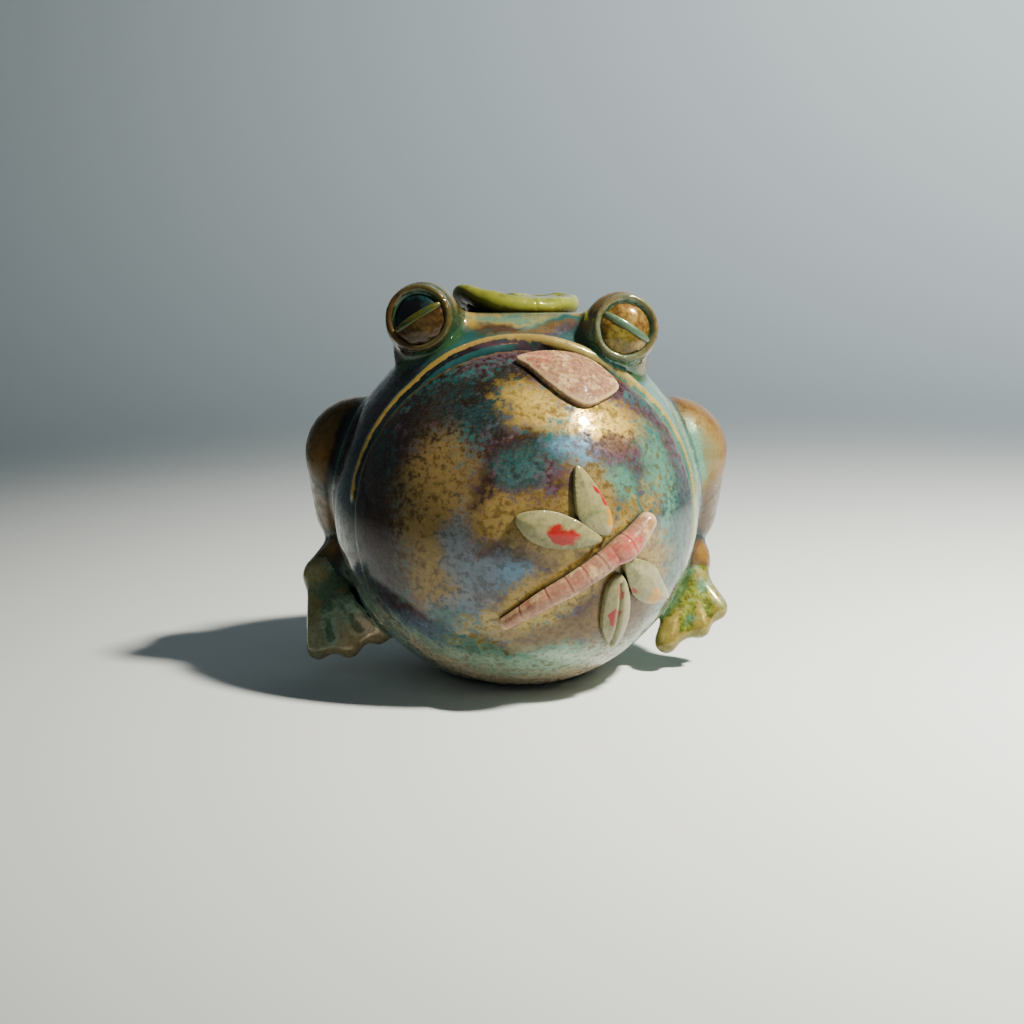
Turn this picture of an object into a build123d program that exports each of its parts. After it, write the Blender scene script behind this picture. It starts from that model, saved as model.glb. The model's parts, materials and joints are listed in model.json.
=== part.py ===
from build123d import *
import os
from math import asin, atan, cos, degrees, radians, sin, sqrt

# A pot-bellied frog in glazed earthenware: a hollow ball for head and back, a hollow dome for the belly,
# and hand-modelled pieces that are luted on with slip. Millimetres, +Z up, the frog faces -Y and its own
# left side is +X. The origin is the middle of the foot ring, on the surface that the frog stands on.
# Places on the ball and on the dome are given as an azimuth from the front (-Y) towards the frog's left
# and an elevation above the level of their centre, both in degrees.

# Luting
SLIP = 0.1  # layer of slip between a piece and its seat

# Body
BODY_RADIUS = 55.5
BASE_CUT = 4.0  # taken off the bottom of the ball for the flat base
CROWN_RISE = 3.0  # of the crown above the ball
CROWN_ANGLE = 46.0  # from the top down to where the crown runs into the ball
WALL = 5.0
FOOT_RING_WIDTH = 5.0
FOOT_RING_DEPTH = 1.2
VENT_RADIUS = 4.0
BROW_RADIUS = 6.5  # of the roll between the eyes
BROW_HALF = 17.0  # half the length of the roll
BROW_FORWARD = 12.0  # of the roll in front of the crown
BROW_PROUD = 0.6  # of the roll above the crown

# Belly
BELLY_TURN = 5.0  # of the belly's axis, towards the frog's left
BELLY_DROP = 0.5  # of the belly's axis below the ball's middle
RIM_SHARE = 0.47  # reach of the mouth's plane in front of the upright axis, as a share of the ball's radius
RIM_PROUD = 1.0  # of the belly's edge beyond the ball
BELLY_BULGE = 2.5  # of the belly's foremost point beyond the ball
BELLY_WALL = 5.0
BELLY_EDGE_ROUND = 1.8

# Upper lip
LIP_THICKNESS = 4.0
LIP_END_THICKNESS = 1.8
LIP_START = -9.0  # angle around the mouth, from the frog's left
LIP_END = 172.0
LIP_STATIONS = 13
LIP_SETBACK = 2.0  # of the coil's middle behind the plane of the mouth

# Tongue
TONGUE_AZIMUTH = 26.0
TONGUE_ELEVATION = 52.0
TONGUE_THICKNESS = 3.0
TONGUE_HALF_WIDTH = 13.5
TONGUE_HANG = 12.0  # below its middle

# Eyes: azimuth and elevation of each mound on the ball
RIGHT_EYE = (-62.0, 62.0)
LEFT_EYE = (61.0, 58.0)
EYE_STANDOFF = 7.6  # of the mound's middle above the ball
EYE_RADIUS = 11.7
EYE_FLARE = 9.0  # slope of the mound's foot
EYE_FOOT = 7.0  # how far the mound reaches below the ball's surface before it is trimmed to it
SOCKET_RADIUS = 9.0
SOCKET_DEPTH = 5.5
EYE_FACING = 12.0  # turn of the socket outwards
EYE_TILT = 10.0  # tilt of the socket upwards
LID_THICKNESS = 1.1
LID_SLOPE = 33.0  # fall of the lid line towards the outside
LID_ROLL_RADIUS = 1.2
LID_ROLL_SPAN = 54.0  # half the angle that the roll takes up over the eyeball
EYEBALL_RISE = 1.6  # of the eyeball's middle towards the front of the mound

# Lily pad
PAD_RADIUS = 19.5
PAD_THICKNESS = 4.6
PAD_BACK = 9.0  # of its middle behind the crown
PAD_LIFT = 1.4  # of its underside over the crown, at its middle
PAD_TILT = 7.0  # rise towards the frog's right
PAD_STALK_RADIUS = 8.0
PAD_NOTCH_DEPTH = 12.0
PAD_NOTCH_WIDTH = 9.0
PAD_EDGE_ROUND = 1.9
PAD_SCORES = (-150.0, -118.0, -80.0, -48.0, -15.0)  # directions of the scored veins
PAD_SCORE_WIDTH = 0.8
PAD_SCORE_DEPTH = 0.6

# Dragonfly: azimuth and elevation on the belly of tail, waist and head
TAIL_PLACE = (-5.2, -26.6)
WAIST_PLACE = (27.8, -5.1)
HEAD_PLACE = (41.0, 4.0)
TAIL_RADIUS = 1.8
ABDOMEN_RADIUS = 2.7
WAIST_RADIUS = 2.9
THORAX_RADIUS = 3.6
DRAGONFLY_HEAD_RADIUS = 2.9
BODY_SINK = 0.3  # of the rolls' middle into the belly, as a share of the radius
RING_WIDTH = 0.5
RING_DEPTH = 0.4
RING_SHARES = (0.58, 0.74, 0.88)  # places of the scored rings along the abdomen

# Wings: azimuth and elevation of root and tip on the belly
LEFT_FOREWING = ((26.6, 1.2), (17.7, 20.8))
LEFT_HINDWING = ((24.2, -1.6), (-0.8, 6.4))
RIGHT_FOREWING = ((33.2, -7.6), (57.0, -22.6))
RIGHT_HINDWING = ((31.2, -11.4), (37.8, -40.0))
FOREWING_WIDTH = 9.4
HINDWING_WIDTH = 9.2
WING_THICKNESS = 2.2
WING_CROWN = 34.0  # radius of the wings' outer face

# Hind legs: the thigh's place on the ball, and the foot's points for the frog's left side
THIGH_PLACE = (108.5, 6.2)
THIGH_SINK = 5.0  # of its middle below the ball's surface
THIGH_LENGTH = 56.0
HIP_RADIUS = 16.0
KNEE_RADIUS = 17.5
THIGH_LEAN = 35.0  # of its top towards the front
SHANK_RADIUS = 8.5
ANKLE_RADIUS = 6.0
SHANK_BACK = 8.0  # of its upper end behind the hip
SHANK_DROP = 10.0  # of its upper end below the hip
LEFT_ANKLE_OUT = 6.5  # of the ankle, outwards from the thigh's middle
RIGHT_ANKLE_OUT = 13.0
ANKLE_FORWARD = 6.5
ANKLE_HEIGHT = 27.0
FOOT_FACING = 5.0  # azimuth that the upper side of the foot faces
FOOT_FALL = 54.0  # slope of the foot
LEFT_TOES = ((23.0, 28.0), (-4.0, 21.5), (-33.0, 17.5))  # turn towards the belly and length, inner first
RIGHT_TOES = ((46.0, 31.0), (24.0, 30.0), (3.0, 28.5))
TOE_RADIUS = 4.0
TOE_ROOT_RADIUS = 4.5
HEEL_RADIUS = 6.2
WEB_THICKNESS = 4.8
WEB_REACH = 0.9  # of the web between two toes, as a share of their mean length


ball_centre = Vector(0, 0, BODY_RADIUS - BASE_CUT)
crown_depth = BODY_RADIUS + CROWN_RISE - BODY_RADIUS * cos(radians(CROWN_ANGLE))
crown_radius = ((BODY_RADIUS * sin(radians(CROWN_ANGLE))) ** 2 + crown_depth**2) / (2 * crown_depth)
crown_up = BODY_RADIUS + CROWN_RISE - crown_radius


def heading(azimuth, elevation):
    """The direction from a centre to an azimuth and elevation."""
    level = cos(radians(elevation))
    turn = radians(azimuth)
    return Vector(level * sin(turn), -level * cos(turn), sin(radians(elevation)))


def ball_seat(azimuth, elevation):
    """The plane that touches the ball or its crown at a place, its normal outwards and its x level."""
    way = heading(azimuth, elevation)
    crown_reach = crown_up * way.Z + sqrt(crown_radius**2 - crown_up**2 * (1 - way.Z**2))
    point = way * max(BODY_RADIUS, crown_reach)
    normal = point - Vector(0, 0, crown_up) if crown_reach > BODY_RADIUS else way
    across = Vector(cos(radians(azimuth)), sin(radians(azimuth)), 0)
    return Plane(origin=ball_centre + point, x_dir=across, z_dir=normal)


def globe(grow):
    """The ball with its crown as a solid, grown all round."""
    with BuildPart() as ball:
        with Locations(ball_centre):
            Sphere(BODY_RADIUS + grow)
        with Locations(ball_centre + Vector(0, 0, crown_up)):
            Sphere(crown_radius + grow)
    return ball.part


def limb(start, end, start_radius, end_radius):
    """A round limb between two points, with ball ends and a straight taper."""
    line = end - start
    length = line.length
    way = line.normalized()
    side = Vector(0, 0, 1).cross(way) if abs(way.Z) < 0.99 else Vector(1, 0, 0)
    slope = asin((start_radius - end_radius) / length)
    low = (start_radius * cos(slope), start_radius * sin(slope))
    high = (end_radius * cos(slope), length + end_radius * sin(slope))
    with BuildPart() as form:
        with BuildSketch(Plane(origin=start, x_dir=side, z_dir=side.cross(way))):
            with BuildLine():
                low_end = CenterArc((0, 0), start_radius, -90, 90 + degrees(slope))
                high_end = CenterArc((0, length), end_radius, degrees(slope), 90 - degrees(slope))
                Line(low_end @ 1, high_end @ 0)
                Line(high_end @ 1, low_end @ 0)
            make_face()
        revolve(axis=Axis(start, way))
    return form.part


# The belly is a part of a sphere: its centre follows from the rim and the foremost point.
belly_plane = Plane(
    origin=ball_centre - Vector(0, 0, BELLY_DROP),
    x_dir=(cos(radians(BELLY_TURN)), sin(radians(BELLY_TURN)), 0),
    z_dir=heading(BELLY_TURN, 0),
)
rim_reach = RIM_SHARE * BODY_RADIUS
rim_plane = belly_plane.offset(rim_reach)
rim_radius = sqrt(BODY_RADIUS**2 - rim_reach**2) + RIM_PROUD
belly_reach = BODY_RADIUS + BELLY_BULGE
dome_forward = (belly_reach**2 - rim_reach**2 - rim_radius**2) / (2 * (belly_reach - rim_reach))
dome_radius = belly_reach - dome_forward
dome_centre = belly_plane.offset(dome_forward).origin


def dome_ball(grow):
    """The sphere that the belly is a part of, grown all round."""
    with BuildPart() as ball:
        with Locations(dome_centre):
            Sphere(dome_radius + grow)
    return ball.part


def dome_seat(azimuth, elevation):
    """The plane that touches the belly at a place, its normal outwards and its x level."""
    way = heading(azimuth, elevation)
    across = Vector(cos(radians(azimuth)), sin(radians(azimuth)), 0)
    return Plane(origin=dome_centre + way * dome_radius, x_dir=across, z_dir=way)


def save(piece, label):
    """Names a piece and writes it to its file."""
    piece.part.label = label
    export_step(piece.part, f"parts/{label}.step")


os.makedirs("parts", exist_ok=True)
seated_ball = globe(SLIP)
seated_dome = dome_ball(SLIP)

# Body: the hollow ball, open at the mouth, with a flat foot ring and a vent in its base.
base_radius = sqrt(BODY_RADIUS**2 - ball_centre.Z**2)
crown = ball_seat(0, 90).origin
brow_middle = crown + Vector(0, -BROW_FORWARD, BROW_PROUD - BROW_RADIUS)
brow_half = Vector(BROW_HALF, 0, 0)
with BuildPart() as hollow:
    add(globe(-WALL))
    split(bisect_by=Plane.XY.offset(WALL), keep=Keep.TOP)
with BuildPart() as body_shell:
    add(globe(0))
    add(limb(brow_middle - brow_half, brow_middle + brow_half, BROW_RADIUS, BROW_RADIUS))
    add(hollow.part, mode=Mode.SUBTRACT)
    split(bisect_by=rim_plane, keep=Keep.BOTTOM)
    split(bisect_by=Plane.XY, keep=Keep.TOP)
    with BuildSketch(Plane.XY):
        Circle(base_radius - FOOT_RING_WIDTH)
    extrude(amount=FOOT_RING_DEPTH, mode=Mode.SUBTRACT)
    with BuildSketch(Plane.XY):
        Circle(VENT_RADIUS)
    extrude(amount=WALL, mode=Mode.SUBTRACT)
save(body_shell, "body_shell")

# Belly: the hollow dome, which stands on the edge of the body's opening.
with BuildPart() as belly_shell:
    add(dome_ball(0))
    add(dome_ball(-BELLY_WALL), mode=Mode.SUBTRACT)
    split(bisect_by=rim_plane.offset(SLIP), keep=Keep.TOP)
    rim_edges = belly_shell.edges().filter_by(GeomType.CIRCLE).sort_by(SortBy.RADIUS)
    fillet(rim_edges[-1:], BELLY_EDGE_ROUND)
save(belly_shell, "belly_shell")

# Upper lip: a coil along the arch of the mouth, thinner towards its ends.
with BuildPart() as upper_lip:
    for station in range(LIP_STATIONS):
        share = station / (LIP_STATIONS - 1)
        angle = radians(LIP_START + share * (LIP_END - LIP_START))
        fullness = sin(radians(180 * share)) ** 0.6 if 0 < share < 1 else 0
        radius = (LIP_END_THICKNESS + fullness * (LIP_THICKNESS - LIP_END_THICKNESS)) / 2
        outwards = belly_plane.x_dir * cos(angle) + Vector(0, 0, sin(angle))
        along = Vector(0, 0, cos(angle)) - belly_plane.x_dir * sin(angle)
        middle = rim_plane.offset(-LIP_SETBACK).origin + outwards * (rim_radius + LIP_THICKNESS / 4)
        with BuildSketch(Plane(origin=middle, x_dir=outwards, z_dir=along)):
            Circle(radius)
    loft()
    add(seated_ball, mode=Mode.SUBTRACT)
    add(seated_dome, mode=Mode.SUBTRACT)
save(upper_lip, "upper_lip")


def on_dome(sketch_plane, thickness, crown):
    """The layer over the belly between its seat and an outer face of a smaller radius."""
    top = sketch_plane.origin + sketch_plane.z_dir * (SLIP + thickness - crown)
    with BuildPart() as layer:
        with Locations(top):
            Sphere(crown)
        add(seated_dome, mode=Mode.SUBTRACT)
    return layer.part


# Tongue: a flat blade that comes out under the lip and lies on the belly.
tongue_plane = dome_seat(TONGUE_AZIMUTH, TONGUE_ELEVATION)
with BuildPart() as tongue:
    with BuildSketch(tongue_plane):
        with BuildLine():
            blade = Spline(
                (-0.93 * TONGUE_HALF_WIDTH, 0.92 * TONGUE_HANG),
                (-0.62 * TONGUE_HALF_WIDTH, -0.15 * TONGUE_HANG),
                (0, -TONGUE_HANG),
                (0.6 * TONGUE_HALF_WIDTH, -0.82 * TONGUE_HANG),
                (TONGUE_HALF_WIDTH, -0.3 * TONGUE_HANG),
                (0.6 * TONGUE_HALF_WIDTH, 0.7 * TONGUE_HANG),
            )
            Line(blade @ 1, blade @ 0)
        make_face()
    extrude(amount=TONGUE_HALF_WIDTH, both=True)
    add(on_dome(tongue_plane, TONGUE_THICKNESS, dome_radius), mode=Mode.INTERSECT)
    split(bisect_by=rim_plane.offset(SLIP), keep=Keep.TOP)
    add(upper_lip.part, mode=Mode.SUBTRACT)
save(tongue, "tongue")

# Dragonfly: two rolls along a line on the belly.


def roll(start, end, radii):
    """A roll on the belly between two places, with its radius at even steps."""
    first = heading(*start)
    last = heading(*end)
    with BuildPart() as form:
        for step, radius in enumerate(radii):
            share = step / (len(radii) - 1)
            out = (first * (1 - share) + last * share).normalized()
            along = (last - first) - out * (last - first).dot(out)
            middle = dome_centre + out * (dome_radius + radius * (1 - BODY_SINK))
            with BuildSketch(Plane(origin=middle, x_dir=out, z_dir=along)):
                Circle(radius)
        loft()
        add(seated_dome, mode=Mode.SUBTRACT)
    return form.part


with BuildPart() as dragonfly_abdomen:
    add(roll(TAIL_PLACE, WAIST_PLACE,
             (TAIL_RADIUS * 0.6, TAIL_RADIUS, ABDOMEN_RADIUS * 0.8, ABDOMEN_RADIUS, WAIST_RADIUS)))
    tail_way = heading(*TAIL_PLACE)
    waist_way = heading(*WAIST_PLACE)
    for share in RING_SHARES:
        out = (tail_way * (1 - share) + waist_way * share).normalized()
        along = (waist_way - tail_way) - out * (waist_way - tail_way).dot(out)
        middle = dome_centre + out * (dome_radius + ABDOMEN_RADIUS * (1 - BODY_SINK))
        with BuildSketch(Plane(origin=middle, x_dir=out, z_dir=along)):
            Circle(2 * ABDOMEN_RADIUS)
            Circle(ABDOMEN_RADIUS - RING_DEPTH, mode=Mode.SUBTRACT)
        extrude(amount=RING_WIDTH / 2, both=True, mode=Mode.SUBTRACT)
save(dragonfly_abdomen, "dragonfly_abdomen")

thorax_start = (
    WAIST_PLACE[0] + degrees(SLIP / dome_radius),
    WAIST_PLACE[1] + degrees(SLIP / dome_radius),
)
with BuildPart() as dragonfly_thorax:
    add(roll(thorax_start, HEAD_PLACE,
             (WAIST_RADIUS, THORAX_RADIUS, THORAX_RADIUS * 0.9, DRAGONFLY_HEAD_RADIUS,
              DRAGONFLY_HEAD_RADIUS * 0.5)))
    add(dragonfly_abdomen.part, mode=Mode.SUBTRACT)
save(dragonfly_thorax, "dragonfly_thorax")


def wing(root, tip, width):
    """A leaf-shaped pad on the belly between two places."""
    start = dome_seat(*root).origin
    end = dome_seat(*tip).origin
    out = ((start + end) / 2 - dome_centre).normalized()
    span = end - start
    along = (span - out * span.dot(out)).normalized()
    half = (end - start).length / 2
    plane = Plane(origin=dome_centre + out * dome_radius, x_dir=along, z_dir=out)
    with BuildPart() as pad:
        with BuildSketch(plane):
            with BuildLine():
                Spline((-half, 0), (-0.5 * half, 0.33 * width), (0.3 * half, 0.5 * width),
                       (0.82 * half, 0.34 * width), (half, 0))
                Spline((-half, 0), (-0.5 * half, -0.33 * width), (0.3 * half, -0.5 * width),
                       (0.82 * half, -0.34 * width), (half, 0))
            make_face()
        extrude(amount=half, both=True)
        add(on_dome(plane, WING_THICKNESS, WING_CROWN), mode=Mode.INTERSECT)
        add(dragonfly_abdomen.part, mode=Mode.SUBTRACT)
        add(dragonfly_thorax.part, mode=Mode.SUBTRACT)
    return pad


left_forewing = wing(*LEFT_FOREWING, FOREWING_WIDTH)
left_hindwing = wing(*LEFT_HINDWING, HINDWING_WIDTH)
right_forewing = wing(*RIGHT_FOREWING, FOREWING_WIDTH)
right_hindwing = wing(*RIGHT_HINDWING, HINDWING_WIDTH)
with left_hindwing:
    add(left_forewing.part, mode=Mode.SUBTRACT)
with right_hindwing:
    add(right_forewing.part, mode=Mode.SUBTRACT)
save(left_forewing, "dragonfly_left_forewing")
save(left_hindwing, "dragonfly_left_hindwing")
save(right_forewing, "dragonfly_right_forewing")
save(right_hindwing, "dragonfly_right_hindwing")

# Eyes: a mound with a socket, the eyeball in it, a lid under and a rolled strip over the lid line.
lid_radius = SOCKET_RADIUS - SLIP
lid_seat = lid_radius - LID_THICKNESS
socket_floor = sqrt(EYE_RADIUS**2 - SOCKET_RADIUS**2) - SOCKET_DEPTH
for side, place, outside in (("right", RIGHT_EYE, -1), ("left", LEFT_EYE, 1)):
    seat = ball_seat(*place)
    middle = seat.origin + seat.z_dir * EYE_STANDOFF
    facing = Plane(origin=middle, x_dir=heading(outside * EYE_FACING + 90, 0),
                   z_dir=heading(outside * EYE_FACING, EYE_TILT))
    fall = radians(LID_SLOPE) * outside
    lid_line = Plane(origin=facing.offset(EYEBALL_RISE).origin, z_dir=facing.z_dir,
                     x_dir=facing.x_dir * cos(fall) - facing.y_dir * sin(fall))
    lid_plane = Plane(origin=lid_line.origin, x_dir=lid_line.x_dir, z_dir=lid_line.y_dir)
    floor_plane = facing.offset(socket_floor + SLIP)

    with BuildPart() as eye_mound:
        with BuildSketch(seat.offset(EYE_STANDOFF)):
            Circle(EYE_RADIUS)
        extrude(amount=-EYE_STANDOFF - EYE_FOOT, taper=-EYE_FLARE)
        split(bisect_by=rim_plane.offset(-LIP_SETBACK), keep=Keep.BOTTOM)
        with Locations(middle):
            Sphere(EYE_RADIUS)
        with BuildSketch(facing.offset(socket_floor)):
            Circle(SOCKET_RADIUS)
        extrude(amount=2 * EYE_RADIUS, mode=Mode.SUBTRACT)
        add(seated_ball, mode=Mode.SUBTRACT)
        add(body_shell.part, mode=Mode.SUBTRACT)
        add(upper_lip.part, mode=Mode.SUBTRACT)
        add(tongue.part, mode=Mode.SUBTRACT)
    save(eye_mound, f"{side}_eye_mound")

    with BuildPart() as eyeball:
        with Locations(lid_line.origin):
            Sphere(lid_seat - SLIP)
        split(bisect_by=floor_plane, keep=Keep.TOP)
        add(seated_ball, mode=Mode.SUBTRACT)
        add(body_shell.part, mode=Mode.SUBTRACT)
        add(upper_lip.part, mode=Mode.SUBTRACT)
    save(eyeball, f"{side}_eyeball")

    with BuildPart() as lower_lid:
        with Locations(lid_line.origin):
            Sphere(lid_radius)
            Sphere(lid_seat, mode=Mode.SUBTRACT)
        split(bisect_by=floor_plane, keep=Keep.TOP)
        split(bisect_by=lid_plane, keep=Keep.BOTTOM)
        add(seated_ball, mode=Mode.SUBTRACT)
        add(body_shell.part, mode=Mode.SUBTRACT)
        add(upper_lip.part, mode=Mode.SUBTRACT)
    save(lower_lid, f"{side}_lower_lid")

    span = radians(LID_ROLL_SPAN)
    roll_start = lid_line.z_dir * cos(span) - lid_line.x_dir * sin(span)
    roll_plane = Plane(origin=lid_line.origin, x_dir=roll_start, z_dir=roll_start.cross(lid_line.y_dir))
    with BuildPart() as lid_roll:
        with BuildSketch(roll_plane):
            with Locations((lid_radius, 0)):
                Circle(LID_ROLL_RADIUS)
            with Locations((0, -LID_ROLL_RADIUS)):
                Rectangle(2 * lid_radius, 2 * LID_ROLL_RADIUS + SLIP, mode=Mode.SUBTRACT)
            Circle(lid_seat, mode=Mode.SUBTRACT)
        revolve(axis=Axis(lid_line.origin, lid_line.y_dir), revolution_arc=2 * LID_ROLL_SPAN)
    save(lid_roll, f"{side}_lid_roll")

# Lily pad: a thick notched leaf on the crown, tilted, on a short stalk.
pad_plane = Plane(
    origin=crown + Vector(0, PAD_BACK, PAD_LIFT),
    x_dir=(cos(radians(PAD_TILT)), 0, -sin(radians(PAD_TILT))),
    z_dir=(sin(radians(PAD_TILT)), 0, cos(radians(PAD_TILT))),
)
with BuildPart() as lily_pad:
    with BuildSketch(pad_plane):
        Circle(PAD_RADIUS)
        with Locations((0, PAD_RADIUS)):
            Triangle(a=PAD_NOTCH_WIDTH, b=PAD_NOTCH_DEPTH, c=PAD_NOTCH_DEPTH, rotation=180,
                     mode=Mode.SUBTRACT)
    extrude(amount=PAD_THICKNESS)
    fillet(lily_pad.edges(), PAD_EDGE_ROUND)
    with BuildSketch(pad_plane.offset(PAD_THICKNESS / 2)):
        Circle(PAD_STALK_RADIUS)
    extrude(amount=-PAD_THICKNESS)
    with BuildSketch(pad_plane.offset(PAD_THICKNESS)):
        for turn in PAD_SCORES:
            with PolarLocations(PAD_RADIUS * 0.62, 1, start_angle=turn):
                Rectangle(PAD_RADIUS * 0.8, PAD_SCORE_WIDTH)
    extrude(amount=-PAD_SCORE_DEPTH, mode=Mode.SUBTRACT)
    add(seated_ball, mode=Mode.SUBTRACT)
    add(body_shell.part, mode=Mode.SUBTRACT)
save(lily_pad, "lily_pad")

# Hind legs: each is made on the frog's left side, and the right one is mirrored to its place.
thigh_seat = ball_seat(*THIGH_PLACE)
thigh_middle = thigh_seat.offset(-THIGH_SINK).origin
thigh_way = Vector(0, -sin(radians(THIGH_LEAN)), cos(radians(THIGH_LEAN)))
knee = thigh_middle + thigh_way * (THIGH_LENGTH / 2 - KNEE_RADIUS)
hip = thigh_middle - thigh_way * (THIGH_LENGTH / 2 - HIP_RADIUS)
shank_top = hip + Vector(0, SHANK_BACK, -SHANK_DROP)


def foot_point(turn, reach):
    """A point of the foot's plane, from the ankle down the slope and turned towards the belly."""
    return (-reach * sin(radians(turn)), -reach * cos(radians(turn)))


for side, ankle_out, toes in (("left", LEFT_ANKLE_OUT, LEFT_TOES), ("right", RIGHT_ANKLE_OUT, RIGHT_TOES)):
    with BuildPart() as thigh:
        add(limb(hip, knee, HIP_RADIUS, KNEE_RADIUS))
        add(seated_ball, mode=Mode.SUBTRACT)

    ankle = Vector(thigh_middle.X + ankle_out, thigh_middle.Y - ANKLE_FORWARD, ANKLE_HEIGHT)
    with BuildPart() as shank:
        add(limb(shank_top, ankle, SHANK_RADIUS, ANKLE_RADIUS))
        add(seated_ball, mode=Mode.SUBTRACT)
        add(thigh.part, mode=Mode.SUBTRACT)

    # The foot is a heel, toes that fan out from it and a web between them.
    foot_plane = Plane(
        origin=ankle,
        x_dir=(cos(radians(FOOT_FACING)), sin(radians(FOOT_FACING)), 0),
        z_dir=heading(FOOT_FACING, 90 - FOOT_FALL),
    )
    tips = [foot_point(turn, length - TOE_RADIUS) for turn, length in toes]
    with BuildPart() as foot:
        with Locations(ankle):
            Sphere(HEEL_RADIUS)
        for (turn, length), tip in zip(toes, tips):
            root = foot_point(turn, HEEL_RADIUS - TOE_ROOT_RADIUS)
            add(limb(foot_plane.from_local_coords(root), foot_plane.from_local_coords(tip),
                     TOE_ROOT_RADIUS, TOE_RADIUS))
        with BuildSketch(foot_plane):
            with BuildLine():
                Line((0, 0), tips[0])
                for index in range(len(toes) - 1):
                    turn = (toes[index][0] + toes[index + 1][0]) / 2
                    reach = WEB_REACH * (toes[index][1] + toes[index + 1][1]) / 2
                    ThreePointArc(tips[index], foot_point(turn, reach), tips[index + 1])
                Line(tips[-1], (0, 0))
            make_face()
        extrude(amount=WEB_THICKNESS / 2, both=True)
        add(seated_ball, mode=Mode.SUBTRACT)
        add(thigh.part, mode=Mode.SUBTRACT)
        add(shank.part, mode=Mode.SUBTRACT)

    for label, piece in (("thigh", thigh), ("shank", shank), ("foot", foot)):
        with BuildPart() as placed:
            if side == "left":
                add(piece.part)
            else:
                mirror(piece.part, about=Plane.YZ)
        save(placed, f"{side}_{label}")
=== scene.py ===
import json
import logging
import math
from collections.abc import Callable, Iterable, Sequence
from dataclasses import dataclass, field
from enum import Enum

import bpy
import numpy as np
from mathutils import Matrix, Vector

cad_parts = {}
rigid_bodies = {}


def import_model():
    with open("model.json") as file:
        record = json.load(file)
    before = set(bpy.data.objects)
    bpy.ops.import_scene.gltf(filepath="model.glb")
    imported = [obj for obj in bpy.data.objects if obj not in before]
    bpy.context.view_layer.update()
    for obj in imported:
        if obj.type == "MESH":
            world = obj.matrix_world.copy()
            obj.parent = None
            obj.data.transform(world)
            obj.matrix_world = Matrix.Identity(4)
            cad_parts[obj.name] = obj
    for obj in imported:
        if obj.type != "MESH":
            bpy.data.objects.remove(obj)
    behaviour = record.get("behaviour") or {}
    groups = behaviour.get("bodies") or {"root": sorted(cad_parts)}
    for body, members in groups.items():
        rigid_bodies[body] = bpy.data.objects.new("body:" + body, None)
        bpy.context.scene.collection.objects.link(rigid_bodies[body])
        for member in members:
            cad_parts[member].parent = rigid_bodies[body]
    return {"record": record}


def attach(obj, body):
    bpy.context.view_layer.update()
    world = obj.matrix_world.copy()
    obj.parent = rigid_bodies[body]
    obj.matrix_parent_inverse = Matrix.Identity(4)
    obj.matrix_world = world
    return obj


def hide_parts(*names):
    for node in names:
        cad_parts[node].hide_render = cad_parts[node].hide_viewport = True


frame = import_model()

LOG = logging.getLogger("frog")
MM = 0.001
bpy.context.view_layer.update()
SKIN_VOXEL = 0.7
FORM_VOXEL = 0.9
Point = tuple[float, float]


class Side(Enum):
    """The frog's own sides, with the sign of their X."""

    RIGHT = -1
    LEFT = 1

    @property
    def label(self) -> str:
        """The side's name as the nodes have it."""
        return self.name.lower()


def heading(azimuth: float, elevation: float) -> Vector:
    """Gives the direction to a place on a ball.

    Args:
        azimuth: Degrees from the front towards the frog's left.
        elevation: Degrees above the ball's middle.

    Returns:
        A unit vector.
    """
    turn = math.radians(azimuth)
    level = math.cos(math.radians(elevation))
    return Vector((level * math.sin(turn), -level * math.cos(turn), math.sin(math.radians(elevation))))


@dataclass(frozen=True)
class Ball:
    """The ball that is head, back and base, in millimetres."""

    radius: float = 55.5
    base_cut: float = 4.0
    crown_rise: float = 3.0
    crown_angle: float = 46.0

    @property
    def centre(self) -> Vector:
        """The middle of the ball."""
        return Vector((0, 0, self.radius - self.base_cut))

    @property
    def crown_radius(self) -> float:
        """The radius of the part of a sphere that tops the ball."""
        angle = math.radians(self.crown_angle)
        depth = self.radius + self.crown_rise - self.radius * math.cos(angle)
        return ((self.radius * math.sin(angle)) ** 2 + depth**2) / (2 * depth)

    @property
    def crown_centre(self) -> Vector:
        """The middle of the crown's sphere."""
        return self.centre + Vector((0, 0, self.radius + self.crown_rise - self.crown_radius))

    def seat(self, azimuth: float, elevation: float) -> tuple[Vector, Vector]:
        """Gives the point and the outward normal at a place on the ball.

        Args:
            azimuth: Degrees from the front towards the frog's left.
            elevation: Degrees above the ball's middle.

        Returns:
            The point and the normal.
        """
        way = heading(azimuth, elevation)
        up = self.crown_centre.z - self.centre.z
        reach = up * way.z + math.sqrt(self.crown_radius**2 - up**2 * (1 - way.z**2))
        point = self.centre + way * max(self.radius, reach)
        normal = (point - self.crown_centre).normalized() if reach > self.radius else way
        return point, normal


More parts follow.
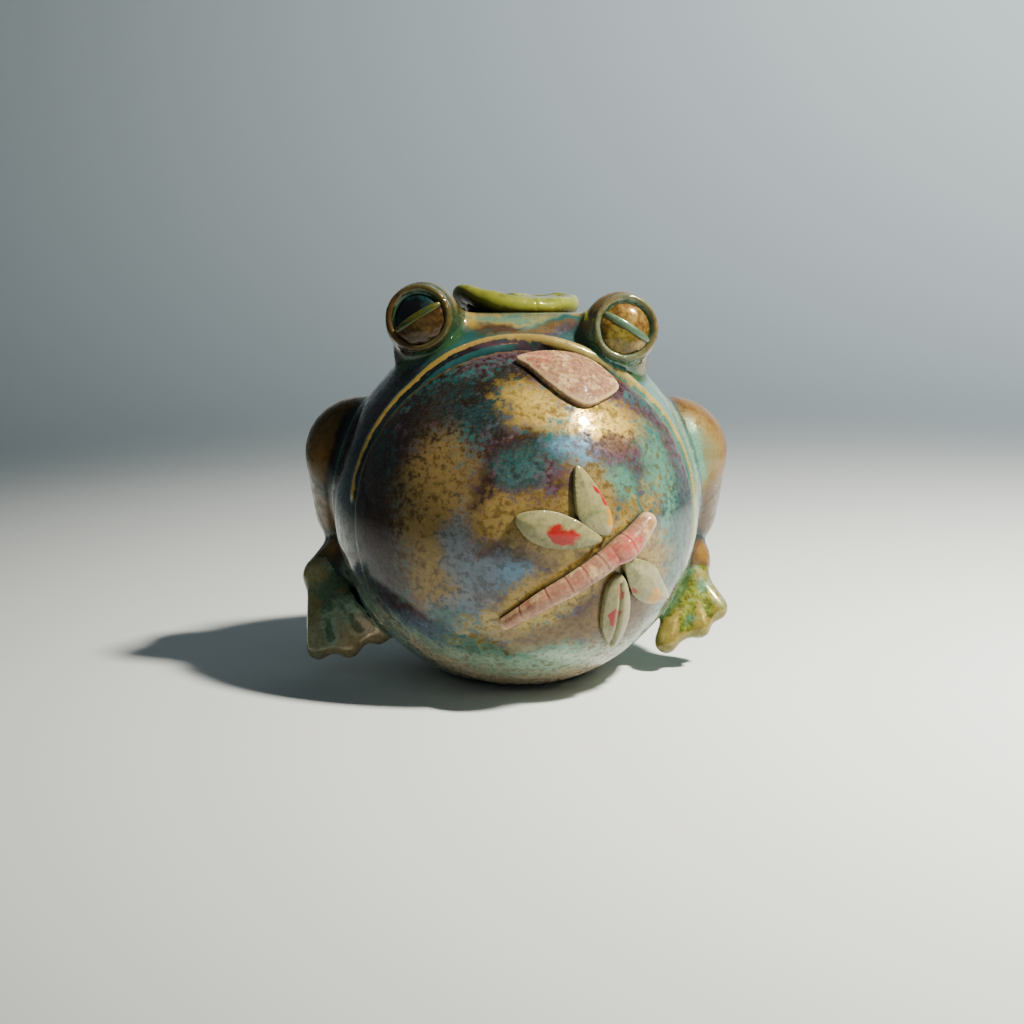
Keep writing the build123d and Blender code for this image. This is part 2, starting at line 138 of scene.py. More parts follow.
@dataclass(frozen=True)
class Dome:
    """The belly's part of a sphere, in millimetres."""

    ball: Ball = Ball()
    turn: float = 5.0
    drop: float = 0.5
    rim_share: float = 0.47
    rim_proud: float = 1.0
    bulge: float = 2.5

    @property
    def way(self) -> Vector:
        """The direction of the belly's axis."""
        return heading(self.turn, 0)

    @property
    def across(self) -> Vector:
        """The level direction in the plane of the mouth, towards the frog's left."""
        return heading(self.turn + 90, 0)

    @property
    def rim_reach(self) -> float:
        """How far the plane of the mouth lies in front of the upright axis."""
        return self.rim_share * self.ball.radius

    @property
    def rim_radius(self) -> float:
        """The radius of the belly's edge."""
        return math.sqrt(self.ball.radius**2 - self.rim_reach**2) + self.rim_proud

    @property
    def axis_point(self) -> Vector:
        """Where the belly's axis meets the upright axis."""
        return self.ball.centre - Vector((0, 0, self.drop))

    @property
    def rim_centre(self) -> Vector:
        """The middle of the mouth's plane."""
        return self.axis_point + self.way * self.rim_reach

    @property
    def forward(self) -> float:
        """How far the sphere's middle lies in front of the upright axis."""
        reach = self.ball.radius + self.bulge
        return (reach**2 - self.rim_reach**2 - self.rim_radius**2) / (2 * (reach - self.rim_reach))

    @property
    def centre(self) -> Vector:
        """The middle of the sphere."""
        return self.axis_point + self.way * self.forward

    @property
    def radius(self) -> float:
        """The radius of the sphere."""
        return self.ball.radius + self.bulge - self.forward

    def point(self, azimuth: float, elevation: float) -> Vector:
        """Gives a place on the belly as a point."""
        return self.centre + heading(azimuth, elevation) * self.radius

    def brim(self, angle: float, setback: float, proud: float) -> Vector:
        """Gives a point over the ball's skin behind the mouth's edge.

        Args:
            angle: Degrees around the mouth, from the frog's left over the top.
            setback: Distance behind the mouth's plane.
            proud: Distance outside the skin.

        Returns:
            The point.
        """
        turn = math.radians(angle)
        out = self.across * math.cos(turn) + Vector((0, 0, math.sin(turn)))
        start = self.rim_centre - self.way * setback
        reaches = []
        for middle, radius in (
            (self.ball.centre, self.ball.radius),
            (self.ball.crown_centre, self.ball.crown_radius),
        ):
            off = start - middle
            along = off.dot(out)
            reaches.append(math.sqrt(max(along**2 - off.dot(off) + radius**2, 0)) - along)
        return start + out * (max(reaches) + proud)

    def wrap(self, piece: bpy.types.Object, azimuth: float, elevation: float) -> bpy.types.Object:
        """Lays a piece that was modelled flat over the belly, keeping its lengths.

        Args:
            piece: A mesh whose x and y lie along the belly and whose z is its height over it.
            azimuth: Place of its origin on the belly.
            elevation: Place of its origin on the belly.

        Returns:
            The piece.
        """
        out = np.array(heading(azimuth, elevation))
        level = np.array(heading(azimuth + 90, 0))
        upward = np.cross(out, level)
        flat = coordinates(piece) / MM
        span = np.hypot(flat[:, 0], flat[:, 1])
        angle = span / self.radius
        safe = np.maximum(span, 1e-9)[:, None]
        side = (flat[:, :1] * level + flat[:, 1:2] * upward) / safe
        way = out * np.cos(angle)[:, None] + side * np.sin(angle)[:, None]
        set_coordinates(piece, (np.array(self.centre) + way * (self.radius + flat[:, 2:3])) * MM)
        return piece


BALL = Ball()
DOME = Dome()


def coordinates(piece: bpy.types.Object) -> np.ndarray:
    """Reads a mesh's vertices, in metres."""
    flat = np.empty(len(piece.data.vertices) * 3)
    piece.data.vertices.foreach_get("co", flat)
    return flat.reshape(-1, 3)


def set_coordinates(piece: bpy.types.Object, places: np.ndarray) -> None:
    """Writes a mesh's vertices, in metres."""
    piece.data.vertices.foreach_set("co", np.ascontiguousarray(places).ravel())
    piece.data.update()


def only(piece: bpy.types.Object) -> bpy.types.Object:
    """Makes a piece the one that is selected and active."""
    bpy.ops.object.select_all(action="DESELECT")
    piece.select_set(True)
    bpy.context.view_layer.objects.active = piece
    return piece


def placed() -> bpy.types.Object:
    """Applies the place of the primitive that was just added, and gives it back."""
    bpy.ops.object.transform_apply(location=True, rotation=True, scale=True)
    return bpy.context.object


def add_ball(centre: Vector, radius: float, segments: int = 64) -> bpy.types.Object:
    """Adds a ball; centre and radius are in millimetres."""
    bpy.ops.object.select_all(action="DESELECT")
    bpy.ops.mesh.primitive_uv_sphere_add(
        segments=segments, ring_count=segments // 2, radius=radius * MM, location=Vector(centre) * MM
    )
    return placed()


def add_limb(start: Vector, end: Vector, start_radius: float, end_radius: float) -> bpy.types.Object:
    """Adds a tapered limb with ball ends, in millimetres."""
    line = end - start
    bpy.ops.object.select_all(action="DESELECT")
    bpy.ops.mesh.primitive_cone_add(
        vertices=48,
        radius1=start_radius * MM,
        radius2=end_radius * MM,
        depth=line.length * MM,
        location=(start + end) / 2 * MM,
        rotation=line.to_track_quat("Z", "Y").to_euler(),
    )
    middle = placed()
    return join([middle, add_ball(start, start_radius, 48), add_ball(end, end_radius, 48)])


def add_ring(centre: Vector, way: Vector, radius: float, thickness: float) -> bpy.types.Object:
    """Adds a torus around a direction, in millimetres."""
    bpy.ops.object.select_all(action="DESELECT")
    bpy.ops.mesh.primitive_torus_add(
        major_segments=72,
        minor_segments=24,
        major_radius=radius * MM,
        minor_radius=thickness / 2 * MM,
        location=centre * MM,
        rotation=way.to_track_quat("Z", "Y").to_euler(),
    )
    return placed()


def join(pieces: Sequence[bpy.types.Object]) -> bpy.types.Object:
    """Joins meshes into the first of them."""
    only(pieces[0])
    for piece in pieces:
        piece.select_set(True)
    bpy.ops.object.join()
    return bpy.context.object


def modify(piece: bpy.types.Object, kind: str, **settings: object) -> bpy.types.Object:
    """Adds a modifier with its settings and applies it."""
    only(piece)
    modifier = piece.modifiers.new(kind.title(), kind)
    for name, value in settings.items():
        setattr(modifier, name, value)
    bpy.ops.object.modifier_apply(modifier=modifier.name)
    return piece


def fuse(pieces: Sequence[bpy.types.Object], voxel: float, passes: int) -> bpy.types.Object:
    """Fuses closed meshes into one skin and softens it as glaze does.

    Args:
        pieces: The meshes.
        voxel: Size of the skin's faces, in millimetres.
        passes: Rounds of smoothing.

    Returns:
        The skin.
    """
    skin = join(pieces)
    modify(skin, "REMESH", mode="VOXEL", voxel_size=voxel * MM, use_smooth_shade=True)
    if passes:
        modify(skin, "SMOOTH", factor=0.5, iterations=passes)
    return skin


def cut(piece: bpy.types.Object, point: Vector, way: Vector) -> bpy.types.Object:
    """Cuts off what lies beyond a plane and closes the cut; the point is in millimetres."""
    only(piece)
    bpy.ops.object.mode_set(mode="EDIT")
    bpy.ops.mesh.select_all(action="SELECT")
    bpy.ops.mesh.bisect(plane_co=point * MM, plane_no=way, use_fill=True, clear_outer=True)
    bpy.ops.object.mode_set(mode="OBJECT")
    return piece


def outward(piece: bpy.types.Object) -> bpy.types.Object:
    """Turns a closed mesh's faces outwards and shades it smooth."""
    only(piece)
    bpy.ops.object.mode_set(mode="EDIT")
    bpy.ops.mesh.select_all(action="SELECT")
    bpy.ops.mesh.normals_make_consistent(inside=False)
    bpy.ops.object.mode_set(mode="OBJECT")
    bpy.ops.object.shade_smooth()
    return piece


def ripple(piece: bpy.types.Object, size: float, depth: float) -> bpy.types.Object:
    """Gives a mesh the slow unevenness of hand-worked clay.

    Args:
        piece: The mesh.
        size: Width of the waves, in millimetres.
        depth: Their height, in millimetres.

    Returns:
        The piece.
    """
    texture = bpy.data.textures.new("Hand-worked clay", type="CLOUDS")
    texture.noise_scale = size * MM
    texture.noise_depth = 1
    return modify(piece, "DISPLACE", texture=texture, strength=2 * depth * MM, mid_level=0.5, texture_coords="LOCAL")


def closed_curve(points: Sequence[Point], steps: int = 10) -> list[Point]:
    """Runs a smooth closed curve through a few points.

    Args:
        points: The points, in order.
        steps: Samples from one point to the next.

    Returns:
        The samples.
    """
    samples = []
    count = len(points)
    for index in range(count):
        before, start, end, after = (np.array(points[(index + k) % count]) for k in (-1, 0, 1, 2))
        for step in range(steps):
            t = step / steps
            value = start + 0.5 * t * (
                end - before
                + t * (2 * before - 5 * start + 4 * end - after + t * (3 * (start - end) + after - before))
            )
            samples.append((float(value[0]), float(value[1])))
    return samples


def open_curve(points: Sequence[Sequence[float]], count: int) -> np.ndarray:
    """Spaces samples evenly along a smooth line through a few points of any dimension."""
    given = np.array(points, float)
    padded = np.vstack([2 * given[0] - given[1], given, 2 * given[-1] - given[-2]])
    samples = []
    for share in np.linspace(0, len(given) - 1, count):
        index = min(int(share), len(given) - 2)
        t = share - index
        before, start, end, after = padded[index : index + 4]
        samples.append(
            start
            + 0.5
            * t
            * (end - before + t * (2 * before - 5 * start + 4 * end - after + t * (3 * (start - end) + after - before)))
        )
    return np.array(samples)


def add_slab(outline: Sequence[Point], low: float, high: float) -> bpy.types.Object:
    """Adds a flat slab with an outline, between two heights in millimetres."""
    mesh = bpy.data.meshes.new("slab")
    mesh.from_pydata([(x * MM, y * MM, low * MM) for x, y in outline], [], [tuple(range(len(outline)))])
    slab = bpy.data.objects.new("slab", mesh)
    bpy.context.scene.collection.objects.link(slab)
    only(slab)
    bpy.ops.object.mode_set(mode="EDIT")
    bpy.ops.mesh.select_all(action="SELECT")
    bpy.ops.mesh.extrude_region_move(TRANSFORM_OT_translate={"value": (0, 0, (high - low) * MM)})
    bpy.ops.object.mode_set(mode="OBJECT")
    return outward(slab)


def to_segment(places: np.ndarray, start: Sequence[float], end: Sequence[float]) -> tuple[np.ndarray, np.ndarray]:
    """Measures how far places are from a segment, and where along it.

    Args:
        places: One place in each row.
        start: The segment's first end.
        end: The segment's other end.

    Returns:
        The distances, and the shares of the segment's length.
    """
    first = np.array(start, float)
    line = np.array(end, float) - first
    share = np.clip((places - first) @ line / (line @ line), 0, 1)
    return np.linalg.norm(places - first - share[:, None] * line, axis=1), share


def normals_of(piece: bpy.types.Object) -> np.ndarray:
    """Reads a mesh's vertex normals."""
    flat = np.empty(len(piece.data.vertices) * 3)
    piece.data.vertices.foreach_get("normal", flat)
    return flat.reshape(-1, 3)


def score(piece: bpy.types.Object, lines: Iterable[tuple[Point, Point]], depth: float, width: float) -> None:
    """Presses lines into the upper side and the edge of a piece that lies flat, in millimetres."""
    places = coordinates(piece) / MM
    normals = normals_of(piece)
    for start, end in lines:
        gap, _ = to_segment(places[:, :2], start, end)
        press = depth * np.exp(-((gap / width) ** 2)) * np.clip(normals[:, 2] + 0.6, 0, 1)
        places -= normals * press[:, None]
    set_coordinates(piece, places * MM)


def relief(piece: bpy.types.Object, passes: int = 6) -> bpy.types.Object:
    """Stores how convex the surface is, which is where glaze runs thin, as the attribute relief.

    Args:
        piece: The mesh.
        passes: Rounds of averaging over neighbours.

    Returns:
        The piece.
    """
    mesh = piece.data
    ends = np.empty(len(mesh.edges) * 2, np.int64)
    mesh.edges.foreach_get("vertices", ends)
    ends = ends.reshape(-1, 2)
    places = coordinates(piece)
    normals = normals_of(piece)
    degree = np.maximum(np.bincount(ends.ravel(), minlength=len(places)), 1)

    def average(values: np.ndarray) -> np.ndarray:
        total = np.zeros_like(values)
        np.add.at(total, ends[:, 0], values[ends[:, 1]])
        np.add.at(total, ends[:, 1], values[ends[:, 0]])
        return total / (degree[:, None] if values.ndim == 2 else degree)

    smooth = places
    for _ in range(passes):
        smooth = average(smooth)
    bend = np.einsum("ij,ij->i", places - smooth, normals) / MM
    for _ in range(2):
        bend = average(bend)
    layer = mesh.attributes.new("relief", "FLOAT", "POINT")
    layer.data.foreach_set("value", bend.astype(np.float32))
    return piece


@dataclass
class Legs:
    """Where a hind leg's joints are, in millimetres."""

    side: Side
    toes: tuple[Point, ...]
    ankle_out: float
    place: Point = (108.5, 6.2)
    sink: float = 5.0
    length: float = 56.0
    lean: float = 35.0
    hip_radius: float = 16.0
    knee_radius: float = 17.5
    shank_back: float = 8.0
    shank_drop: float = 10.0
    shank_radius: float = 8.5
    ankle_radius: float = 6.0
    ankle_forward: float = 6.5
    ankle_height: float = 27.0
    foot_facing: float = 5.0
    foot_fall: float = 54.0
    toe_radius: float = 4.0
    toe_root_radius: float = 4.5
    heel_radius: float = 6.2
    web_thickness: float = 4.6
    web_reach: float = 0.9

    def mirrored(self, point: Vector) -> Vector:
        """Brings a point of the left leg to this leg's side."""
        return Vector((point.x * self.side.value, point.y, point.z))

    @property
    def middle(self) -> Vector:
        """The left thigh's middle."""
        point, normal = BALL.seat(*self.place)
        return point - normal * self.sink

    @property
    def way(self) -> Vector:
        """The thigh's direction, from hip to knee."""
        return Vector((0, -math.sin(math.radians(self.lean)), math.cos(math.radians(self.lean))))

    @property
    def knee(self) -> Vector:
        """The middle of the knee's end."""
        return self.middle + self.way * (self.length / 2 - self.knee_radius)

    @property
    def hip(self) -> Vector:
        """The middle of the hip's end."""
        return self.middle - self.way * (self.length / 2 - self.hip_radius)

    @property
    def shank_top(self) -> Vector:
        """The upper end of the shank."""
        return self.hip + Vector((0, self.shank_back, -self.shank_drop))

    @property
    def ankle(self) -> Vector:
        """The lower end of the shank."""
        return Vector((self.middle.x + self.ankle_out, self.middle.y - self.ankle_forward, self.ankle_height))

    def foot_point(self, turn: float, reach: float, lift: float = 0.0) -> Vector:
        """Gives a point of the left foot.

        Args:
            turn: Degrees from the slope's fall towards the belly.
            reach: Distance from the ankle.
            lift: Height over the foot's plane.

        Returns:
            The point.
        """
        normal = heading(self.foot_facing, 90 - self.foot_fall)
        level = heading(self.foot_facing + 90, 0)
        upward = normal.cross(level)
        angle = math.radians(turn)
        return self.ankle - level * reach * math.sin(angle) - upward * reach * math.cos(angle) + normal * lift

    def limbs(self) -> dict[str, list[tuple[Vector, Vector, float, float]]]:
        """Gives the limbs that make up each node of this leg."""
        toes = []
        for turn, length in self.toes:
            root = self.foot_point(turn, self.heel_radius - self.toe_root_radius)
            tip = self.foot_point(turn, length - self.toe_radius)
            toes.append((root, tip, self.toe_root_radius, self.toe_radius))
        heel = (self.ankle, self.foot_point(self.toes[1][0], 1.0), self.heel_radius, self.heel_radius)
        parts = {
            "thigh": [(self.hip, self.knee, self.hip_radius, self.knee_radius)],
            "shank": [
                (self.shank_top, self.ankle, self.shank_radius, self.ankle_radius),
                (self.shank_top, self.ankle + Vector((4 - self.ankle_out, 4, 4)), self.shank_radius, self.shank_radius + 1),
            ],
            "foot": [*toes, heel],
        }
        return {
            f"{self.side.label}_{name}": [(self.mirrored(a), self.mirrored(b), r, s) for a, b, r, s in rows]
            for name, rows in parts.items()
        }

    def add_web(self) -> bpy.types.Object:
        """Adds the web between the toes as a slab."""
        fan = [(self.toes[1][0], 0.0)]
        for index, (turn, length) in enumerate(self.toes):
            fan.append((turn, length - self.toe_radius))
            if index + 1 < len(self.toes):
                following, reach = self.toes[index + 1]
                fan.append(((turn + following) / 2, self.web_reach * (length + reach) / 2))
        low = [self.foot_point(turn, reach, -self.web_thickness / 2) for turn, reach in fan]
        high = [self.foot_point(turn, reach, self.web_thickness / 2) for turn, reach in fan]
        corners = [self.mirrored(point) * MM for point in low + high]
        count = len(fan)
        walls = [(k, (k + 1) % count, count + (k + 1) % count, count + k) for k in range(count)]
        mesh = bpy.data.meshes.new("web")
        mesh.from_pydata(corners, [], [tuple(range(count)), tuple(range(count, 2 * count)), *walls])
        web = bpy.data.objects.new("web", mesh)
        bpy.context.scene.collection.objects.link(web)
        return outward(web)


@dataclass
class Eye:
    """One eye: a mound with a ring rim, eyeball, lower lid and lid roll, in millimetres."""

    side: Side
    place: Point
    standoff: float = 7.6
    radius: float = 11.3
    facing_turn: float = 12.0
    tilt: float = 10.0
    face_depth: float = 5.4
    rim_radius: float = 8.9
    rim_thickness: float = 2.1
    rim_reach: float = 5.9
    neck_radius: float = 10.6
    neck_depth: float = 6.0
    neck_back: float = 6.0
    cheek_reach: float = 6.0
    ball_radius: float = 7.5
    ball_reach: float = 4.2
    flatness: float = 0.5
    lid_slope: float = 33.0
    lid_thickness: float = 1.2
    roll_radius: float = 1.15
    roll_span: float = 56.0

    @property
    def middle(self) -> Vector:
        """The mound's middle."""
        point, normal = BALL.seat(*self.place)
        return point + normal * self.standoff

    @property
    def facing(self) -> Vector:
        """The direction that the eye looks in."""
        return heading(self.side.value * self.facing_turn, self.tilt)

    @property
    def across(self) -> Vector:
        """The level direction in the eye's face, towards the frog's left."""
        return heading(self.side.value * self.facing_turn + 90, 0)

    @property
    def lid_across(self) -> Vector:
        """The direction of the lid line, towards the frog's left."""
        fall = math.radians(self.lid_slope) * self.side.value
        return self.across * math.cos(fall) - self.facing.cross(self.across) * math.sin(fall)

    @property
    def ball_middle(self) -> Vector:
        """The eyeball's middle."""
        return self.middle + self.facing * self.ball_reach

    def add_mound(self) -> bpy.types.Object:
        """Adds the mound without its rim, flat in front."""
        return cut(add_ball(self.middle, self.radius), self.middle + self.facing * self.face_depth, self.facing)

    @property
    def neck(self) -> tuple[Vector, Vector, float, float]:
        """The limb that carries the mound on the ball."""
        point, normal = BALL.seat(*self.place)
        start = self.middle - self.facing * self.neck_back
        return start, point - normal * self.neck_depth - self.facing * 2, self.neck_radius, self.neck_radius + 1.5

    @property
    def cheek(self) -> tuple[Vector, Vector, float, float]:
        """The limb that runs the mound's outer side down into the head."""
        point, normal = BALL.seat(*self.place)
        out = self.across * self.side.value
        start = self.middle - self.facing * self.neck_back + out * 2.5
        return start, point - normal * 4 + out * self.cheek_reach - self.facing * 2, 8.0, 9.5

    def add_rim(self) -> bpy.types.Object:
        """Adds the ring around the eye's face."""
        return add_ring(self.middle + self.facing * self.rim_reach, self.facing, self.rim_radius, self.rim_thickness)

    def flatten(self, piece: bpy.types.Object) -> bpy.types.Object:
        """Flattens a piece of the eye towards its face, and takes its relief."""
        places = coordinates(piece) / MM
        way = np.array(self.facing)
        depth = (places - np.array(self.ball_middle)) @ way
        set_coordinates(piece, (places - (1 - self.flatness) * depth[:, None] * way) * MM)
        return relief(piece)

    def add_eyeball(self) -> bpy.types.Object:
        """Adds the eyeball."""
        ball = cut(add_ball(self.ball_middle, self.ball_radius, 96), self.middle + self.facing * 1.0, -self.facing)
        return self.flatten(fuse([ball], 0.3, 3))

    def add_lower_lid(self) -> bpy.types.Object:
        """Adds the lid that covers the eyeball below the lid line."""
        lid = add_ball(self.ball_middle, self.ball_radius + self.lid_thickness, 96)
        cut(lid, self.middle + self.facing * 1.0, -self.facing)
        cut(lid, self.ball_middle, self.facing.cross(self.lid_across))
        return self.flatten(ripple(fuse([lid], 0.3, 5), 4.0, 0.35))

    def add_lid_roll(self) -> bpy.types.Object:
        """Adds the rolled strip on the lid line."""
        beads = []
        for share in np.linspace(-1, 1, 41):
            angle = math.radians(self.roll_span * share)
            way = self.facing * math.cos(angle) + self.lid_across * math.sin(angle)
            middle = self.ball_middle + way * (self.ball_radius + self.lid_thickness * 0.8)
            beads.append(add_ball(middle, self.roll_radius * (1 - 0.25 * abs(share) ** 3), 20))
        return self.flatten(fuse(beads, 0.25, 4))


class Skin:
    """The glazed skin of body, lip, eye mounds and legs: fused, softened, and parted into pieces again."""

    FILLET_PASSES = 22
    DETAIL_PASSES = 7
    LIP_START = -9.0
    LIP_END = 172.0
    LIP_THICKNESS = 2.8
    LIP_END_THICKNESS = 1.4
    LIP_SWELL = 1.6
    LIP_SWELL_AT = 72.0
    LIP_SWELL_SPAN = 20.0
    LIP_SETBACK = 3.1
    LIP_SWELL_SETBACK = 0.5
    LIP_PROUD = 0.1
    LIP_BEADS = 151
    LIP_BORDER = 0.9
    LIP_KEEL = 2.6
    BROW_RADIUS = 6.5
    BROW_HALF = 17.0
    BROW_FORWARD = 12.0
    BROW_PROUD = 0.6
    RING_WIDTH = 5.0
    RING_DEPTH = 1.2
    VENT_RADIUS = 4.0
    VENT_DEPTH = 5.0

    def __init__(self, eyes: Sequence[Eye], legs: Sequence[Legs]) -> None:
        self.eyes = eyes
        self.legs = legs

    @property
    def brow(self) -> tuple[Vector, Vector]:
        """The ends of the roll between the eyes."""
        top = BALL.seat(0, 90)[0]
        middle = top + Vector((0, -self.BROW_FORWARD, self.BROW_PROUD - self.BROW_RADIUS))
        half = Vector((self.BROW_HALF, 0, 0))
        return middle - half, middle + half

    def lip(self) -> list[tuple[Vector, float]]:
        """Gives the middle and radius of the lip's coil along its arch."""
        rows = []
        for share in np.linspace(0, 1, self.LIP_BEADS):
            fullness = math.sin(math.pi * share) ** 0.6 if 0 < share < 1 else 0.0
            angle = self.LIP_START + share * (self.LIP_END - self.LIP_START)
            swell = math.exp(-(((angle - self.LIP_SWELL_AT) / self.LIP_SWELL_SPAN) ** 2))
            thickness = self.LIP_END_THICKNESS + fullness * (self.LIP_THICKNESS - self.LIP_END_THICKNESS)
            setback = self.LIP_SETBACK + swell * (self.LIP_SWELL_SETBACK - self.LIP_SETBACK)
            rows.append((DOME.brim(angle, setback, self.LIP_PROUD), (thickness + swell * self.LIP_SWELL) / 2))
        return rows

    def base(self, skin: bpy.types.Object) -> None:
        """Sinks the hollow inside the foot ring, and the vent, into the flat base."""
        ring = math.sqrt(BALL.radius**2 - BALL.centre.z**2) - self.RING_WIDTH
        for radius, depth in ((ring, self.RING_DEPTH), (self.VENT_RADIUS, self.RING_DEPTH + self.VENT_DEPTH)):
            bpy.ops.object.select_all(action="DESELECT")
            bpy.ops.mesh.primitive_cylinder_add(vertices=96, radius=radius * MM, depth=2 * depth * MM)
            cutter = placed()
            modify(skin, "BOOLEAN", object=cutter, operation="DIFFERENCE", solver="EXACT")
            bpy.data.objects.remove(cutter)

    def build(self) -> dict[str, bpy.types.Object]:
        """Makes the skin and parts it.

        Returns:
            The closed pieces by node name.
        """
        forms = [add_ball(BALL.centre, BALL.radius, 128), add_ball(BALL.crown_centre, BALL.crown_radius, 128)]
        forms.append(add_limb(*self.brow, self.BROW_RADIUS, self.BROW_RADIUS))
        forms += [piece for eye in self.eyes for piece in (eye.add_mound(), add_limb(*eye.neck), add_limb(*eye.cheek))]
        for leg in self.legs:
            forms += [add_limb(*limb) for limbs in leg.limbs().values() for limb in limbs]
            forms.append(leg.add_web())
        form = fuse(forms, FORM_VOXEL, self.FILLET_PASSES)
        cut(form, Vector((0, 0, 0)), Vector((0, 0, -1)))
        self.base(form)
        cut(form, DOME.rim_centre, DOME.way)
        details = [form] + [eye.add_rim() for eye in self.eyes]
        details += [add_ball(middle, radius, 16) for middle, radius in self.lip()]
        skin = fuse(details, SKIN_VOXEL, self.DETAIL_PASSES)
        ripple(skin, 22, 0.25)
        places = coordinates(skin)
        set_coordinates(skin, np.column_stack((places[:, :2], np.maximum(places[:, 2], 0))))
        relief(skin)
        return self.part(skin)

    def fields(self, places: np.ndarray) -> dict[str, np.ndarray]:
        """Measures how far places are outside each raw piece, in millimetres."""

        def ball(centre: Vector, radius: float) -> np.ndarray:
            return np.linalg.norm(places - np.array(centre), axis=1) - radius

        def limb(start: Vector, end: Vector, start_radius: float, end_radius: float) -> np.ndarray:
            gap, share = to_segment(places, start, end)
            return gap - start_radius - share * (end_radius - start_radius)

        found = {
            "body_shell": np.minimum.reduce(
                [
                    ball(BALL.centre, BALL.radius),
                    ball(BALL.crown_centre, BALL.crown_radius),
                    limb(*self.brow, self.BROW_RADIUS, self.BROW_RADIUS),
                ]
            )
        }
        coil = self.lip()[::5]
        found["upper_lip"] = np.minimum.reduce(
            [limb(start, end, thick, thin) - self.LIP_BORDER for (start, thick), (end, thin) in zip(coil, coil[1:])]
        )
        for eye in self.eyes:
            off = places - np.array(eye.middle + eye.facing * eye.rim_reach)
            along = off @ np.array(eye.facing)
            level = np.linalg.norm(off - along[:, None] * np.array(eye.facing), axis=1)
            ring = np.hypot(level - eye.rim_radius, along) - eye.rim_thickness / 2
            mound = [ball(eye.middle, eye.radius), limb(*eye.neck), limb(*eye.cheek), ring]
            found[f"{eye.side.label}_eye_mound"] = np.minimum.reduce(mound) - self.LIP_BORDER
        for leg in self.legs:
            for name, limbs in leg.limbs().items():
                found[name] = np.minimum.reduce([limb(*row) for row in limbs])
        return found

    def part(self, skin: bpy.types.Object) -> dict[str, bpy.types.Object]:
        """Parts the skin where one raw piece gives way to the next, and closes each part behind."""
        mesh = skin.data
        normals = np.empty(len(mesh.vertices) * 3, np.float32)
        mesh.vertices.foreach_get("normal", normals)
        mesh.attributes.new("skin_normal", "FLOAT_VECTOR", "POINT").data.foreach_set("vector", normals)
        centres = np.empty(len(mesh.polygons) * 3)
        mesh.polygons.foreach_get("center", centres)
        found = self.fields(centres.reshape(-1, 3) / MM)
        names = list(found)
        mesh.materials.clear()
        for name in names:
            mesh.materials.append(bpy.data.materials.new(name))
        mesh.polygons.foreach_set("material_index", np.argmin([found[name] for name in names], axis=0).astype(np.int32))
        only(skin)
        before = set(bpy.data.objects) - {skin}
        bpy.ops.object.mode_set(mode="EDIT")
        bpy.ops.mesh.select_all(action="SELECT")
        bpy.ops.mesh.separate(type="MATERIAL")
        bpy.ops.object.mode_set(mode="OBJECT")
        pieces = {}
        hearts = self.hearts()
        for piece in set(bpy.data.objects) - before:
            name = piece.data.materials[piece.data.polygons[0].material_index].name
            pieces[name] = self.close(piece, hearts[name])
        for name in names:
            LOG.info("%s: %d faces", name, len(pieces[name].data.polygons))
        return pieces

    def hearts(self) -> dict[str, list[Vector]]:
        """Gives points inside each piece, in millimetres, that its back is drawn to."""
        keel = [middle + (BALL.centre - middle).normalized() * self.LIP_KEEL for middle, _ in self.lip()[::4]]
        points = {"body_shell": [BALL.centre], "upper_lip": keel}
        for eye in self.eyes:
            points[f"{eye.side.label}_eye_mound"] = [BALL.centre.lerp(eye.middle, 0.68)]
        for leg in self.legs:
            for name, limbs in leg.limbs().items():
                points[name] = [limbs[-1][0].lerp(limbs[-1][1], 0.5)]
        return points

    @staticmethod
    def close(piece: bpy.types.Object, hearts: Sequence[Vector]) -> bpy.types.Object:
        """Closes an open part behind its face, and keeps the whole skin's shading on it.

        Args:
            piece: The open part.
            hearts: Points inside it, in millimetres; the part's border is drawn to the nearest of them.

        Returns:
            The closed part.
        """
        only(piece)
        bpy.ops.object.mode_set(mode="EDIT")
        bpy.ops.mesh.select_mode(type="EDGE")
        bpy.ops.mesh.select_all(action="DESELECT")
        bpy.ops.mesh.select_non_manifold(extend=False, use_wire=False, use_multi_face=False, use_non_contiguous=False, use_verts=False)
        bpy.ops.mesh.extrude_edges_move()
        bpy.ops.object.mode_set(mode="OBJECT")
        for vertex in piece.data.vertices:
            if vertex.select:
                vertex.co = min((heart * MM for heart in hearts), key=lambda heart: (heart - vertex.co).length_squared)
        bpy.ops.object.mode_set(mode="EDIT")
        bpy.ops.mesh.remove_doubles(threshold=1e-6)
        bpy.ops.object.mode_set(mode="OBJECT")
        normals = np.empty(len(piece.data.vertices) * 3, np.float32)
        piece.data.attributes["skin_normal"].data.foreach_get("vector", normals)
        piece.data.materials.clear()
        piece.data.normals_split_custom_set_from_vertices(normals.reshape(-1, 3).tolist())
        return piece


class Belly:
    """The dome of belly and lower jaw, with its rounded edge."""

    VOXEL = 0.55
    PASSES = 7

    def build(self) -> bpy.types.Object:
        """Makes the belly."""
        dome = cut(add_ball(DOME.centre, DOME.radius, 160), DOME.rim_centre + DOME.way * 0.1, -DOME.way)
        belly = fuse([dome], self.VOXEL, self.PASSES)
        ripple(belly, 26, 0.25)
        return relief(belly)


